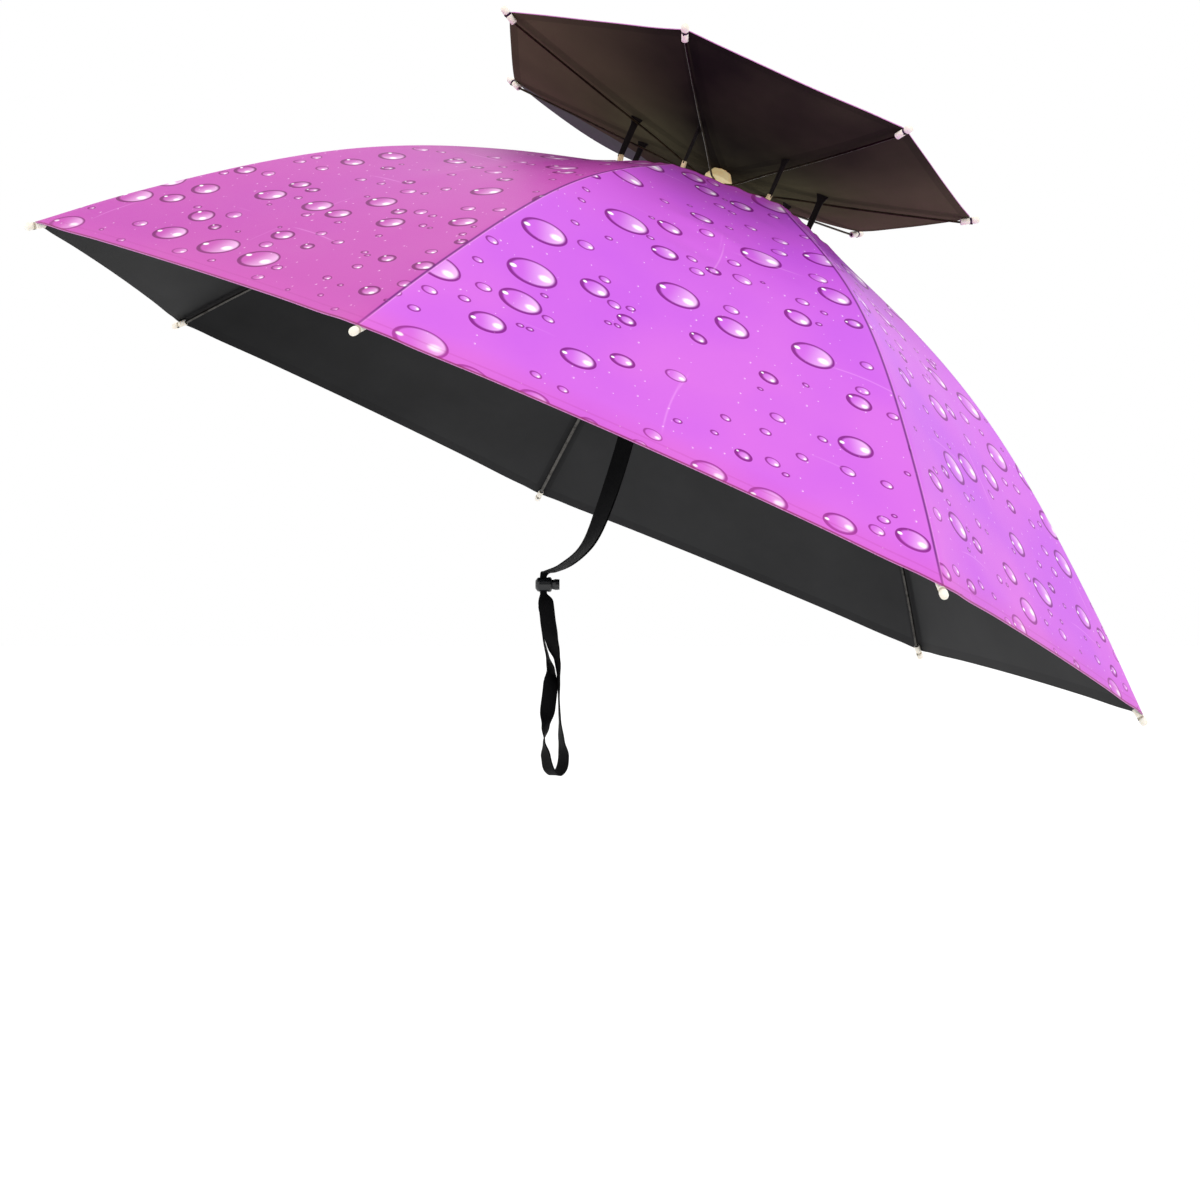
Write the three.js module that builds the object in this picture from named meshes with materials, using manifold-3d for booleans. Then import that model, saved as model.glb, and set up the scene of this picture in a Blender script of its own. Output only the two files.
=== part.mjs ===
// An umbrella hat with two canopies, worn tilted back on the head.
// Millimetres, +Z up, origin at the middle of the headband, where the head sits. The wearer looks along -X.
import * as THREE from 'three';
import { mergeVertices } from 'three/addons/utils/BufferGeometryUtils.js';
import Module from 'manifold-3d';

const wasm = await Module();
wasm.setup();

// How the hat is worn
const tiltBackDegrees = 23.54;
const leanAwayDegrees = 1.74;

// Both canopies
const ribCount = 7;
const firstRibDegrees = 199.4;
const clothWall = 1.2;
const seatGap = 0.3;

// Lower canopy
const brimRadius = 385;
const crownHeight = 201;
const bandToBrim = 80;
const ventRadius = 85;
const brimScallop = 3.5;
const lowerPanelSag = 4;
const crownLean = 6.6;
const crownLeanDegrees = 322;

// Upper canopy
const topRadius = 167.4;
const topRimRise = 45.3;
const topCentreRise = 18.5;
const topHoleRadius = 3.6;
const topTwistDegrees = 5.4;
const topLeanX = -3.67;
const topLeanY = -2.82;
const topOffsetX = -7.2;
const topOffsetY = -0.2;
const topHemDroop = 7;
const topPanelSag = 2.5;
const bowlPower = 1.4;

// How finely the cloth and the wires are divided
const lowerRows = 12;
const lowerColumns = 5;
const upperRows = 7;
const upperColumns = 4;
const upperRowPower = 1.3;
const wireSides = 6;
const lowerWireSteps = 19;
const upperWireSteps = 15;

// Ribs and their tips
const lowerWireRadius = 1.2;
const upperWireRadius = 0.7;
const socketRadius = 2.4;
const socketLength = 6.5;
const tipRadius = 3.1;
const tipLength = 15;
const boreDepth = 9;
const wireInTip = 8;
const tipSides = 8;
const foldHalfDegrees = 75;
const lowerRootStraight = 18;
const upperRootStraight = 5;
const lowerEndStraight = 10;
const upperEndStraight = 8;

// Hub and button
const hubFlangeRadius = 13;
const hubFlangeHeight = 9.2;
const hubBarrelRadius = 9.5;
const hubSeatRadius = 6;
const hubEdge = 1;
const hubNeck = 3;
const hubSides = 18;
const boreSides = 8;
const studRadius = 2.8;
const studHeight = 6.5;
const wireInHub = 4.5;
const upperRootDrop = 10;
const buttonRadius = 8;
const buttonHeight = 8;
const buttonSides = 16;

// Clips and ties in the vent
const tieRadius = 65;
const clipFoot = 9;
const clipTop = 3.5;
const clipHeight = 12;
const clipThickness = 4.4;
const clipSkirt = 1;
const tieWidth = 4;
const tieThickness = 1;
const tieFlare = 8;
const tieFlareStart = 5;
const tieFlareEnd = 1.2;

// Headband and its hangers
const headLength = 194;
const headWidth = 156;
const bandHeight = 30;
const bandThickness = 2.6;
const bandEdge = 0.8;
const bandSteps = 30;
const hangerRadius = 127;
const hangerWidth = 10;
const hangerThickness = 1.2;
const hangerLap = 18;
const sleeveRadius = 2.1;
const sleeveSides = 10;
const hangerBulge = 3;

// Chin strap and slider
const strapWidth = 10;
const strapThickness = 1;
const gatheredWidth = 4;
const gatheredThickness = 1.4;
const strapLap = 24;
const strapSteps = 3;
const strapEndForward = 0.09;
const sliderWidth = 10.4;
const sliderHeight = 9.7;
const sliderDepth = 9.6;
const sliderBore = 2.9;
const sliderWing = 5.2;
const sliderEntry = 0.8;
const sliderSides = 16;
const sliderForward = 61;
const sliderDrop = 142.1;
const loopLength = 123.5;

// The lower ribs' curve: reach is a share of brimRadius, rise a share of crownHeight.
const lowerCurve = [
  { reach: 0.0, rise: 1.0 },
  { reach: 0.1, rise: 0.983 },
  { reach: 0.2, rise: 0.946 },
  { reach: 0.3, rise: 0.89 },
  { reach: 0.4, rise: 0.818 },
  { reach: 0.5, rise: 0.73 },
  { reach: 0.6, rise: 0.621 },
  { reach: 0.7, rise: 0.488 },
  { reach: 0.8, rise: 0.337 },
  { reach: 0.9, rise: 0.175 },
  { reach: 1.0, rise: 0.0 },
];

// The panels, from the one between ribs 1 and 2: scallop is a share of brimScallop,
// sag of lowerPanelSag and droop of topHemDroop.
const panels = [
  { scallop: 0.6, sag: 0.8, droop: 0.15 },
  { scallop: 1.0, sag: 1.0, droop: 0.1 },
  { scallop: 0.7, sag: 1.0, droop: 0.15 },
  { scallop: 0.6, sag: 0.8, droop: 0.2 },
  { scallop: 0.6, sag: 0.8, droop: 0.3 },
  { scallop: 0.6, sag: 0.9, droop: 1.0 },
  { scallop: 0.6, sag: 0.9, droop: 0.3 },
];

const radians = THREE.MathUtils.degToRad;
const up = new THREE.Vector3(0, 0, 1);
const vec = (x, y, z) => new THREE.Vector3(x, y, z);
const colours = {
  lowerCloth: { color: 0xcb62e6, roughness: 0.55, metalness: 0 },
  upperCloth: { color: 0x9a4fb8, roughness: 0.55, metalness: 0 },
  wire: { color: 0x8a8078, roughness: 0.35, metalness: 0.9 },
  tip: { color: 0xefe8da, roughness: 0.4, metalness: 0 },
  hub: { color: 0xe8cf95, roughness: 0.4, metalness: 0 },
  clip: { color: 0xd2b48f, roughness: 0.5, metalness: 0 },
  webbing: { color: 0x0c0c0e, roughness: 0.85, metalness: 0 },
  slider: { color: 0x15161a, roughness: 0.35, metalness: 0 },
};

// Turns a geometry into one closed mesh whose faces point out.
function closed(geometry) {
  const bare = new THREE.BufferGeometry();
  bare.setAttribute('position', geometry.getAttribute('position'));
  if (geometry.index) bare.setIndex(geometry.index);
  const merged = mergeVertices(bare, 1e-4);
  const place = merged.getAttribute('position');
  const kept = [];
  let volume = 0;
  const corner = [vec(0, 0, 0), vec(0, 0, 0), vec(0, 0, 0)];
  for (let face = 0; face < merged.index.count; face += 3) {
    const ids = [0, 1, 2].map((k) => merged.index.getX(face + k));
    if (ids[0] === ids[1] || ids[1] === ids[2] || ids[2] === ids[0]) continue;
    ids.forEach((id, k) => corner[k].fromBufferAttribute(place, id));
    volume += corner[0].dot(corner[1].clone().cross(corner[2]));
    kept.push(...ids);
  }
  if (volume < 0) kept.reverse();
  merged.setIndex(kept);
  return merged;
}

function toSolid(geometry) {
  const mesh = closed(geometry);
  return new wasm.Manifold(
    new wasm.Mesh({
      numProp: 3,
      vertProperties: new Float32Array(mesh.getAttribute('position').array),
      triVerts: new Uint32Array(mesh.index.array),
    }),
  );
}

function fromSolid(solid) {
  const mesh = solid.getMesh();
  const geometry = new THREE.BufferGeometry();
  geometry.setAttribute('position', new THREE.BufferAttribute(new Float32Array(mesh.vertProperties), 3));
  geometry.setIndex(Array.from(mesh.triVerts));
  return geometry;
}

function piece(name, geometry, look) {
  const mesh = new THREE.Mesh(closed(geometry), new THREE.MeshStandardMaterial(look));
  mesh.name = name;
  return mesh;
}

// A smooth curve through a table's points.
function readCurve(table, reach) {
  const last = table.length - 1;
  let k = 0;
  while (k < last - 1 && reach > table[k + 1].reach) k += 1;
  const slope = (j) => {
    const low = table[Math.max(j - 1, 0)];
    const high = table[Math.min(j + 1, last)];
    return (high.rise - low.rise) / (high.reach - low.reach);
  };
  const step = table[k + 1].reach - table[k].reach;
  const t = (reach - table[k].reach) / step;
  const startSlope = k === 0 ? 0 : slope(k) * step;
  const endSlope = slope(k + 1) * step;
  const rest = 1 - t;
  const from = table[k].rise * (1 + 2 * t) * rest * rest + startSlope * t * rest * rest;
  return from + table[k + 1].rise * t * t * (3 - 2 * t) - endSlope * t * t * rest;
}

// A closed skin from rows of points: rings that close on themselves, with an end face or joined ends.
function skin(rows, joined) {
  const across = rows[0].length;
  const points = rows.flat();
  const faces = [];
  const turns = joined ? rows.length : rows.length - 1;
  for (let r = 0; r < turns; r += 1) {
    const next = (r + 1) % rows.length;
    for (let c = 0; c < across; c += 1) {
      const side = (c + 1) % across;
      const a = r * across + c;
      const b = r * across + side;
      const d = next * across + c;
      const e = next * across + side;
      faces.push(a, b, e, a, e, d);
    }
  }
  if (!joined) {
    const end = (rows.length - 1) * across;
    for (let c = 1; c < across - 1; c += 1) {
      faces.push(0, c + 1, c);
      faces.push(end, end + c, end + c + 1);
    }
  }
  const geometry = new THREE.BufferGeometry().setFromPoints(points);
  geometry.setIndex(faces);
  return geometry;
}

// A sheet of cloth with its wall, from a function of the way round and the way out.
function clothShell(surface, rowCount, panelColumns, wall) {
  const around = ribCount * panelColumns;
  const outer = [];
  for (let r = 0; r <= rowCount; r += 1) {
    for (let c = 0; c < around; c += 1) outer.push(surface(c / panelColumns, r / rowCount));
  }
  const faces = [];
  for (let r = 0; r < rowCount; r += 1) {
    for (let c = 0; c < around; c += 1) {
      const a = r * around + c;
      const b = r * around + ((c + 1) % around);
      faces.push(a, a + around, b + around, a, b + around, b);
    }
  }
  const sheet = new THREE.BufferGeometry().setFromPoints(outer);
  sheet.setIndex(faces);
  sheet.computeVertexNormals();
  const normals = sheet.getAttribute('normal');
  const normal = vec(0, 0, 0);
  const rings = [];
  for (let c = 0; c < around; c += 1) {
    const front = [];
    const back = [];
    for (let r = 0; r <= rowCount; r += 1) {
      const id = r * around + c;
      normal.fromBufferAttribute(normals, id);
      if (normal.z < 0) normal.negate();
      front.push(outer[id]);
      back.unshift(outer[id].clone().addScaledVector(normal, -wall));
    }
    rings.push([...front, ...back]);
  }
  return skin(rings, true);
}

// A flat strip through stations, each with its centre, the way its width runs, its width and thickness.
function ribbon(stations) {
  const rows = stations.map((station, k) => {
    const before = stations[Math.max(k - 1, 0)].at;
    const after = stations[Math.min(k + 1, stations.length - 1)].at;
    const along = after.clone().sub(before).normalize();
    const wide = station.wide.clone().addScaledVector(along, -station.wide.dot(along)).normalize();
    const thick = along.clone().cross(wide);
    const corner = (w, t) =>
      station.at
        .clone()
        .addScaledVector(wide, (w * station.width) / 2)
        .addScaledVector(thick, (t * station.thickness) / 2);
    return [corner(-1, -1), corner(1, -1), corner(1, 1), corner(-1, 1)];
  });
  return skin(rows, false);
}

function wire(points, radius, steps) {
  const round = new THREE.Shape();
  for (let k = 0; k < wireSides; k += 1) {
    const turn = (2 * Math.PI * k) / wireSides;
    if (k === 0) round.moveTo(radius * Math.cos(turn), radius * Math.sin(turn));
    else round.lineTo(radius * Math.cos(turn), radius * Math.sin(turn));
  }
  const path = new THREE.CatmullRomCurve3(points, false, 'centripetal');
  return new THREE.ExtrudeGeometry(round, { steps, extrudePath: path, bevelEnabled: false });
}

function rod(radius, from, to, sides) {
  const length = from.distanceTo(to);
  const geometry = new THREE.CylinderGeometry(radius, radius, length, sides);
  const turn = new THREE.Quaternion().setFromUnitVectors(vec(0, 1, 0), to.clone().sub(from).normalize());
  geometry.applyQuaternion(turn);
  const middle = from.clone().lerp(to, 0.5);
  return geometry.translate(middle.x, middle.y, middle.z);
}

// Turned about Z from a profile of radius and height, starting and ending on the axis.
function turned(profile, sides) {
  const points = profile.map((p) => new THREE.Vector2(p[0], p[1]));
  return new THREE.LatheGeometry(points, sides).rotateX(Math.PI / 2);
}

// Lower canopy
const brimHeight = -bandToBrim;
const crownTop = brimHeight + crownHeight;
const ventShare = ventRadius / brimRadius;
const panelAngle = (2 * Math.PI) / ribCount;
const ribAngle = (rib) => radians(firstRibDegrees) + panelAngle * rib;

function lowerRibPoint(rib, share) {
  const angle = ribAngle(rib);
  const lean = 6.75 * share * (1 - share) * (1 - share) * Math.cos(angle - radians(crownLeanDegrees));
  const height = brimHeight + crownHeight * readCurve(lowerCurve, share) + crownLean * lean;
  return vec(brimRadius * share * Math.cos(angle), brimRadius * share * Math.sin(angle), height);
}

function betweenRibs(ribPoint, round, share, inward) {
  const panel = Math.floor(round + 1e-9) % ribCount;
  const across = Math.max(round - Math.floor(round + 1e-9), 0);
  const bow = 4 * across * (1 - across);
  const pulled = share * (1 - inward(panel) * bow * share ** 4);
  return { panel, bow, at: ribPoint(panel, pulled).lerp(ribPoint((panel + 1) % ribCount, pulled), across) };
}

function lowerSurface(round, share) {
  const inward = (panel) => (brimScallop * panels[panel].scallop) / brimRadius;
  const found = betweenRibs(lowerRibPoint, round, share, inward);
  const sag = lowerPanelSag * panels[found.panel].sag * found.bow * Math.sin(Math.PI * share);
  const pull = vec(found.at.x, found.at.y, 0).normalize().multiplyScalar(share).add(up).normalize();
  return found.at.addScaledVector(pull, -sag);
}

const lowerCanopy = clothShell(
  (round, out) => lowerSurface(round, ventShare + (1 - ventShare) * out),
  lowerRows,
  lowerColumns,
  clothWall,
);

// The ribs lie under the cloth's folds, far enough below for the tips' sockets.
const ribDrop = clothWall + (socketRadius + seatGap) / Math.sin(radians(foldHalfDegrees));
const ribWay = (rib) => vec(Math.cos(ribAngle(rib)), Math.sin(ribAngle(rib)), 0);

function ribFrame(ribPoint, rib, share) {
  const step = 0.004;
  const high = Math.min(share + step, 1);
  const low = Math.max(high - 2 * step, 0);
  const along = ribPoint(rib, high).sub(ribPoint(rib, low)).normalize();
  const side = up.clone().cross(along).normalize();
  return { along, side, normal: along.clone().cross(side) };
}

function lowerRibCentre(rib, share) {
  return lowerRibPoint(rib, share).addScaledVector(ribFrame(lowerRibPoint, rib, share).normal, -ribDrop);
}

// Upper canopy: its rim is a leaning plane, its centre stands on the hub, and both rise from the crown.
const topRimHeight = crownTop + topRimRise;
const topCentreHeight = crownTop + topCentreRise;
const topTurn = new THREE.Euler(radians(topLeanX), radians(topLeanY), 0);
const topCorners = [];
for (let rib = 0; rib < ribCount; rib += 1) {
  const angle = ribAngle(rib) + radians(topTwistDegrees);
  const corner = vec(topRadius * Math.cos(angle), topRadius * Math.sin(angle), 0).applyEuler(topTurn);
  topCorners.push(corner.add(vec(topOffsetX, topOffsetY, topRimHeight)));
}

function upperRibPoint(rib, share) {
  const corner = topCorners[rib];
  const rise = (corner.z - topCentreHeight) * share ** bowlPower;
  return vec(corner.x * share, corner.y * share, topCentreHeight + rise);
}

function upperSurface(round, share) {
  const found = betweenRibs(upperRibPoint, round, share, () => 0);
  const hem = topHemDroop * panels[found.panel].droop * found.bow * share ** 6;
  const sag = topPanelSag * found.bow * Math.sin(Math.PI * share);
  found.at.z -= hem + sag;
  return found.at;
}

const topHoleShare = topHoleRadius / topRadius;
const upperCanopy = clothShell(
  (round, out) => upperSurface(round, topHoleShare + (1 - topHoleShare) * out ** upperRowPower),
  upperRows,
  upperColumns,
  clothWall,
);

// Rib tips: a socket under the cloth's corner, a waist where it is sewn on, and a rounded end.
function tipProfile(wireRadius) {
  const bore = wireRadius + seatGap;
  return [
    [0, boreDepth],
    [bore, boreDepth],
    [bore, 0],
    [socketRadius, 0],
    [socketRadius, socketLength],
    [socketRadius * 0.8, socketLength + 0.8],
    [tipRadius, socketLength + 2],
    [tipRadius, tipLength * 0.8],
    [tipRadius * 0.72, tipLength * 0.95],
    [0, tipLength],
  ];
}

function tipPlace(ribPoint, rib) {
  const frame = ribFrame(ribPoint, rib, 1);
  const seat = ribPoint(rib, 1).addScaledVector(frame.normal, -ribDrop);
  return { seat, along: frame.along, start: seat.clone().addScaledVector(frame.along, -socketLength) };
}

function ribTip(name, ribPoint, rib, wireRadius) {
  const place = tipPlace(ribPoint, rib);
  const mesh = piece(name, turned(tipProfile(wireRadius), tipSides), colours.tip);
  mesh.position.copy(place.start);
  mesh.quaternion.setFromUnitVectors(up, place.along);
  return mesh;
}

// Hub: a flange for the lower ribs, a barrel for the upper ribs, a seat and a stud for the upper canopy.
const hubRootHeight = lowerRibCentre(0, hubFlangeRadius / brimRadius).z;
const hubBase = hubRootHeight - hubFlangeHeight / 2;
const hubFlangeTop = hubRootHeight + hubFlangeHeight / 2;
const hubSeatTop = topCentreHeight - clothWall - seatGap;
const upperRootHeight = topCentreHeight - upperRootDrop;
const studTop = topCentreHeight + studHeight;

function lowerRibPath(rib) {
  const way = ribWay(rib);
  const tip = tipPlace(lowerRibPoint, rib);
  const rootReach = hubFlangeRadius - wireInHub;
  const straightEnd = hubFlangeRadius + lowerRootStraight;
  const points = [rootReach, straightEnd].map((reach) => way.clone().multiplyScalar(reach));
  points.forEach((point) => point.setZ(hubRootHeight));
  for (const share of [0.14, 0.22, 0.33, 0.44, 0.55, 0.66, 0.77, 0.88]) {
    points.push(lowerRibCentre(rib, share));
  }
  points.push(tip.start.clone().addScaledVector(tip.along, -lowerEndStraight));
  points.push(tip.start.clone());
  points.push(tip.start.clone().addScaledVector(tip.along, wireInTip));
  return points;
}

function upperRibPath(rib) {
  const way = vec(topCorners[rib].x, topCorners[rib].y, 0).normalize();
  const tip = tipPlace(upperRibPoint, rib);
  const points = [
    way.clone().multiplyScalar(hubBarrelRadius - wireInHub).setZ(upperRootHeight),
    way.clone().multiplyScalar(hubBarrelRadius + upperRootStraight).setZ(upperRootHeight),
  ];
  for (const share of [0.3, 0.5, 0.7]) {
    const drop = ribDrop + (upperRootDrop - ribDrop) * (1 - share) ** 2;
    points.push(upperRibPoint(rib, share).addScaledVector(up, -drop));
  }
  points.push(tip.start.clone().addScaledVector(tip.along, -upperEndStraight));
  points.push(tip.start.clone());
  points.push(tip.start.clone().addScaledVector(tip.along, wireInTip));
  return points;
}

function makeHub() {
  const profile = [
    [0, hubBase],
    [hubFlangeRadius - hubEdge, hubBase],
    [hubFlangeRadius, hubBase + hubEdge],
    [hubFlangeRadius, hubFlangeTop - hubEdge],
    [hubFlangeRadius - hubEdge, hubFlangeTop],
    [hubBarrelRadius, hubFlangeTop + hubEdge / 2],
    [hubBarrelRadius, upperRootHeight + hubNeck],
    [hubSeatRadius, hubSeatTop],
    [studRadius, hubSeatTop],
    [studRadius, studTop],
    [0, studTop],
  ];
  let hub = toSolid(turned(profile, hubSides));
  for (let rib = 0; rib < ribCount; rib += 1) {
    const lower = ribWay(rib);
    const upper = vec(topCorners[rib].x, topCorners[rib].y, 0).normalize();
    const cuts = [
      { way: lower, height: hubRootHeight, radius: lowerWireRadius, reach: hubFlangeRadius },
      { way: upper, height: upperRootHeight, radius: upperWireRadius, reach: hubBarrelRadius },
    ];
    for (const cut of cuts) {
      const from = cut.way.clone().multiplyScalar(cut.reach - wireInHub - seatGap).setZ(cut.height);
      const to = cut.way.clone().multiplyScalar(cut.reach + 2 * hubEdge).setZ(cut.height);
      hub = hub.subtract(toSolid(rod(cut.radius + seatGap, from, to, boreSides)));
    }
  }
  return fromSolid(hub);
}

function makeButton() {
  const base = topCentreHeight + 2 * seatGap;
  const bore = studRadius + seatGap;
  const top = base + buttonHeight;
  return turned(
    [
      [0, studTop + seatGap],
      [bore, studTop + seatGap],
      [bore, base],
      [buttonRadius * 0.92, base],
      [buttonRadius, base + buttonHeight * 0.1],
      [buttonRadius * 0.94, base + buttonHeight * 0.45],
      [buttonRadius * 0.7, base + buttonHeight * 0.8],
      [buttonRadius * 0.4, top],
      [0, top],
    ],
    buttonSides,
  );
}

// A clip straddles each lower rib inside the vent, and a tie rises from it to the upper canopy.
const tieShare = tieRadius / brimRadius;

function ribClip(rib) {
  const low = -socketRadius;
  const outline = new THREE.Shape();
  outline.moveTo(-clipFoot / 2, low);
  outline.lineTo(clipFoot / 2, low);
  outline.lineTo(clipFoot / 2, lowerWireRadius + clipSkirt);
  outline.lineTo(clipTop / 2, clipHeight);
  outline.lineTo(-clipTop / 2, clipHeight);
  outline.lineTo(-clipFoot / 2, lowerWireRadius + clipSkirt);
  const block = new THREE.ExtrudeGeometry(outline, { depth: clipThickness, bevelEnabled: false, steps: 1 });
  block.translate(0, 0, -clipThickness / 2);
  const bore = rod(lowerWireRadius + seatGap, vec(-clipFoot, 0, 0), vec(clipFoot, 0, 0), boreSides);
  const clip = fromSolid(toSolid(block).subtract(toSolid(bore)));
  const mesh = piece(`rib_clip_${rib + 1}`, clip, colours.clip);
  const frame = ribFrame(lowerRibPoint, rib, tieShare);
  mesh.position.copy(lowerRibCentre(rib, tieShare));
  const across = frame.along.clone().cross(frame.normal);
  const basis = new THREE.Matrix4().makeBasis(frame.along, frame.normal, across);
  mesh.quaternion.setFromRotationMatrix(basis);
  return mesh;
}

// The point of the upper canopy right above a place, found by stepping out along it.
function upperClothAbove(place) {
  const angle = Math.atan2(place.y, place.x) - Math.atan2(topCorners[0].y, topCorners[0].x);
  let round = ((angle / panelAngle) % ribCount + ribCount) % ribCount;
  let share = Math.hypot(place.x, place.y) / topRadius;
  for (let pass = 0; pass < 12; pass += 1) {
    const found = upperSurface(round, share);
    share *= Math.hypot(place.x, place.y) / Math.hypot(found.x, found.y);
    const turn = Math.atan2(place.y, place.x) - Math.atan2(found.y, found.x);
    round = (round + Math.atan2(Math.sin(turn), Math.cos(turn)) / panelAngle + ribCount) % ribCount;
  }
  return upperSurface(round, share);
}

function ventTie(rib) {
  const frame = ribFrame(lowerRibPoint, rib, tieShare);
  const foot = lowerRibCentre(rib, tieShare).addScaledVector(frame.normal, clipHeight + 2 * seatGap);
  const head = upperClothAbove(foot).addScaledVector(up, -clothWall - 3 * seatGap);
  const wide = ribWay(rib);
  const place = (down) => foot.clone().lerp(head, 1 - down / foot.distanceTo(head));
  const station = (at, width) => ({ at, wide, width, thickness: tieThickness });
  return ribbon([
    station(foot, clipTop),
    station(foot.clone().lerp(head, 0.2), tieWidth),
    station(place(tieFlareStart), tieWidth),
    station(place(tieFlareEnd), tieFlare),
    station(head, tieFlare),
  ]);
}

// Headband: an oval ring that stands across the hat's axis.
function bandPoint(angle, outward, height) {
  const x = (headLength / 2) * Math.cos(angle);
  const y = (headWidth / 2) * Math.sin(angle);
  const normal = vec(x / headLength ** 2, y / headWidth ** 2, 0).normalize();
  return vec(x, y, height).addScaledVector(normal, outward);
}

function bandAngleToward(way) {
  return Math.atan2(way.y / headWidth, way.x / headLength);
}

function makeHeadband() {
  const half = bandHeight / 2;
  const rings = [];
  for (let k = 0; k < bandSteps; k += 1) {
    const angle = (2 * Math.PI * k) / bandSteps;
    rings.push([
      bandPoint(angle, bandEdge, -half),
      bandPoint(angle, bandThickness - bandEdge, -half),
      bandPoint(angle, bandThickness, -half + bandEdge),
      bandPoint(angle, bandThickness, half - bandEdge),
      bandPoint(angle, bandThickness - bandEdge, half),
      bandPoint(angle, bandEdge, half),
      bandPoint(angle, 0, half - bandEdge),
      bandPoint(angle, 0, -half + bandEdge),
    ]);
  }
  return skin(rings, true);
}

// A hanger: a strap sewn to the band's outside, ending in a sleeve round the rib.
function bandHanger(rib) {
  const way = ribWay(rib);
  const share = hangerRadius / brimRadius;
  const frame = ribFrame(lowerRibPoint, rib, share);
  const seat = lowerRibCentre(rib, share);
  const angle = bandAngleToward(way);
  const outside = bandThickness + seatGap + hangerThickness / 2;
  const bandTop = bandPoint(angle, outside, bandHeight / 2);
  const bandLow = bandPoint(angle, outside, bandHeight / 2 - hangerLap);
  const wide = up.clone().cross(bandPoint(angle, 1, 0).sub(bandPoint(angle, 0, 0)));
  const head = seat.clone().addScaledVector(frame.normal, -sleeveRadius + hangerThickness / 2);
  const station = (at, side) => ({ at, wide: side, width: hangerWidth, thickness: hangerThickness });
  const strap = ribbon([
    station(bandLow, wide),
    station(bandTop, wide),
    station(bandTop.clone().lerp(head, 0.1).add(vec(0, 0, hangerBulge)), wide),
    station(bandTop.clone().lerp(head, 0.55), wide.clone().lerp(frame.side, 0.5)),
    station(head, frame.side),
  ]);
  const reach = frame.along.clone().multiplyScalar(hangerWidth / 2);
  const sleeve = rod(sleeveRadius, seat.clone().sub(reach), seat.clone().add(reach), sleeveSides);
  const far = reach.clone().multiplyScalar(2);
  const bore = rod(lowerWireRadius + seatGap, seat.clone().sub(far), seat.clone().add(far), boreSides);
  return fromSolid(toSolid(strap).add(toSolid(sleeve)).subtract(toSolid(bore)));
}

// Chin strap: down the near side of the face, through the slider, round the hanging loop, back through
// the slider and up the far side, which mirrors the near one. forward is a share of sliderForward, out of
// half the headWidth and drop of sliderDrop. wide is the way the strap's width runs, and full is its
// spread, from 0 where it is gathered in the slider to 1 where it lies flat.
const faceRoute = [
  { forward: 0.148, out: 0.987, drop: 0.380, wide: [0.95, 0, 0.3], full: 1 },
  { forward: 0.338, out: 0.885, drop: 0.632, wide: [0.93, 0.1, 0.35], full: 1 },
  { forward: 0.523, out: 0.641, drop: 0.816, wide: [0.85, 0.3, 0.35], full: 1 },
  { forward: 0.754, out: 0.346, drop: 0.908, wide: [0.75, 0.45, 0.1], full: 1 },
  { forward: 0.926, out: 0.115, drop: 0.940, wide: [0.95, 0.25, 0], full: 0.55 },
  { forward: 0.987, out: 0.038, drop: 0.947, wide: [1, 0, 0], full: 0.15 },
];

// The hanging loop's places are counted from the slider's middle: across and out are shares of
// strapWidth, and down is a share of loopLength.
const loopRoute = [
  { across: 0.16, out: -0.32, down: 0.097, wide: [1, 0, 0], full: 1 },
  { across: 0.34, out: -0.36, down: 0.211, wide: [1, -0.1, 0], full: 1 },
  { across: 0.62, out: -0.32, down: 0.318, wide: [0.75, -0.65, 0], full: 1 },
  { across: 0.90, out: -0.22, down: 0.399, wide: [0.35, -0.94, 0], full: 1 },
  { across: 0.98, out: -0.12, down: 0.497, wide: [0.15, -0.99, 0], full: 1 },
  { across: 1.00, out: 0.00, down: 0.603, wide: [0.05, -1, 0], full: 1 },
  { across: 1.06, out: 0.10, down: 0.709, wide: [0.1, -1, 0], full: 1 },
  { across: 1.16, out: 0.20, down: 0.816, wide: [0.35, -0.93, 0], full: 1 },
  { across: 1.30, out: 0.30, down: 0.901, wide: [0.65, -0.75, 0], full: 1 },
  { across: 1.16, out: 0.22, down: 0.969, wide: [0.72, -0.7, 0], full: 1 },
  { across: 0.78, out: -0.08, down: 1.000, wide: [0.7, -0.72, 0], full: 1 },
  { across: 0.38, out: -0.42, down: 0.971, wide: [0.72, -0.7, 0], full: 1 },
  { across: 0.16, out: -0.52, down: 0.901, wide: [0.6, -0.8, 0], full: 1 },
  { across: 0.04, out: -0.34, down: 0.824, wide: [0.1, -1, 0], full: 1 },
  { across: 0.14, out: -0.24, down: 0.742, wide: [-0.45, -0.9, 0], full: 1 },
  { across: 0.29, out: -0.22, down: 0.644, wide: [-0.97, -0.25, 0], full: 1 },
  { across: 0.44, out: -0.16, down: 0.538, wide: [-0.93, -0.35, 0], full: 1 },
  { across: 0.48, out: 0.10, down: 0.448, wide: [-0.45, -0.9, 0], full: 1 },
  { across: 0.24, out: 0.34, down: 0.371, wide: [-0.1, -1, 0], full: 1 },
  { across: -0.04, out: 0.46, down: 0.269, wide: [0, -1, 0], full: 1 },
  { across: -0.12, out: 0.48, down: 0.162, wide: [-0.15, -1, 0], full: 1 },
  { across: -0.06, out: 0.36, down: 0.101, wide: [-0.6, -0.8, 0], full: 0.6 },
];

// The hat stands tilted; the strap hangs straight down from it.
const sliderPlace = vec(-sliderForward, 0, -sliderDrop);
const hat = new THREE.Group();
hat.rotation.set(radians(-leanAwayDegrees), radians(tiltBackDegrees), 0);
hat.updateMatrixWorld(true);

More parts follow.
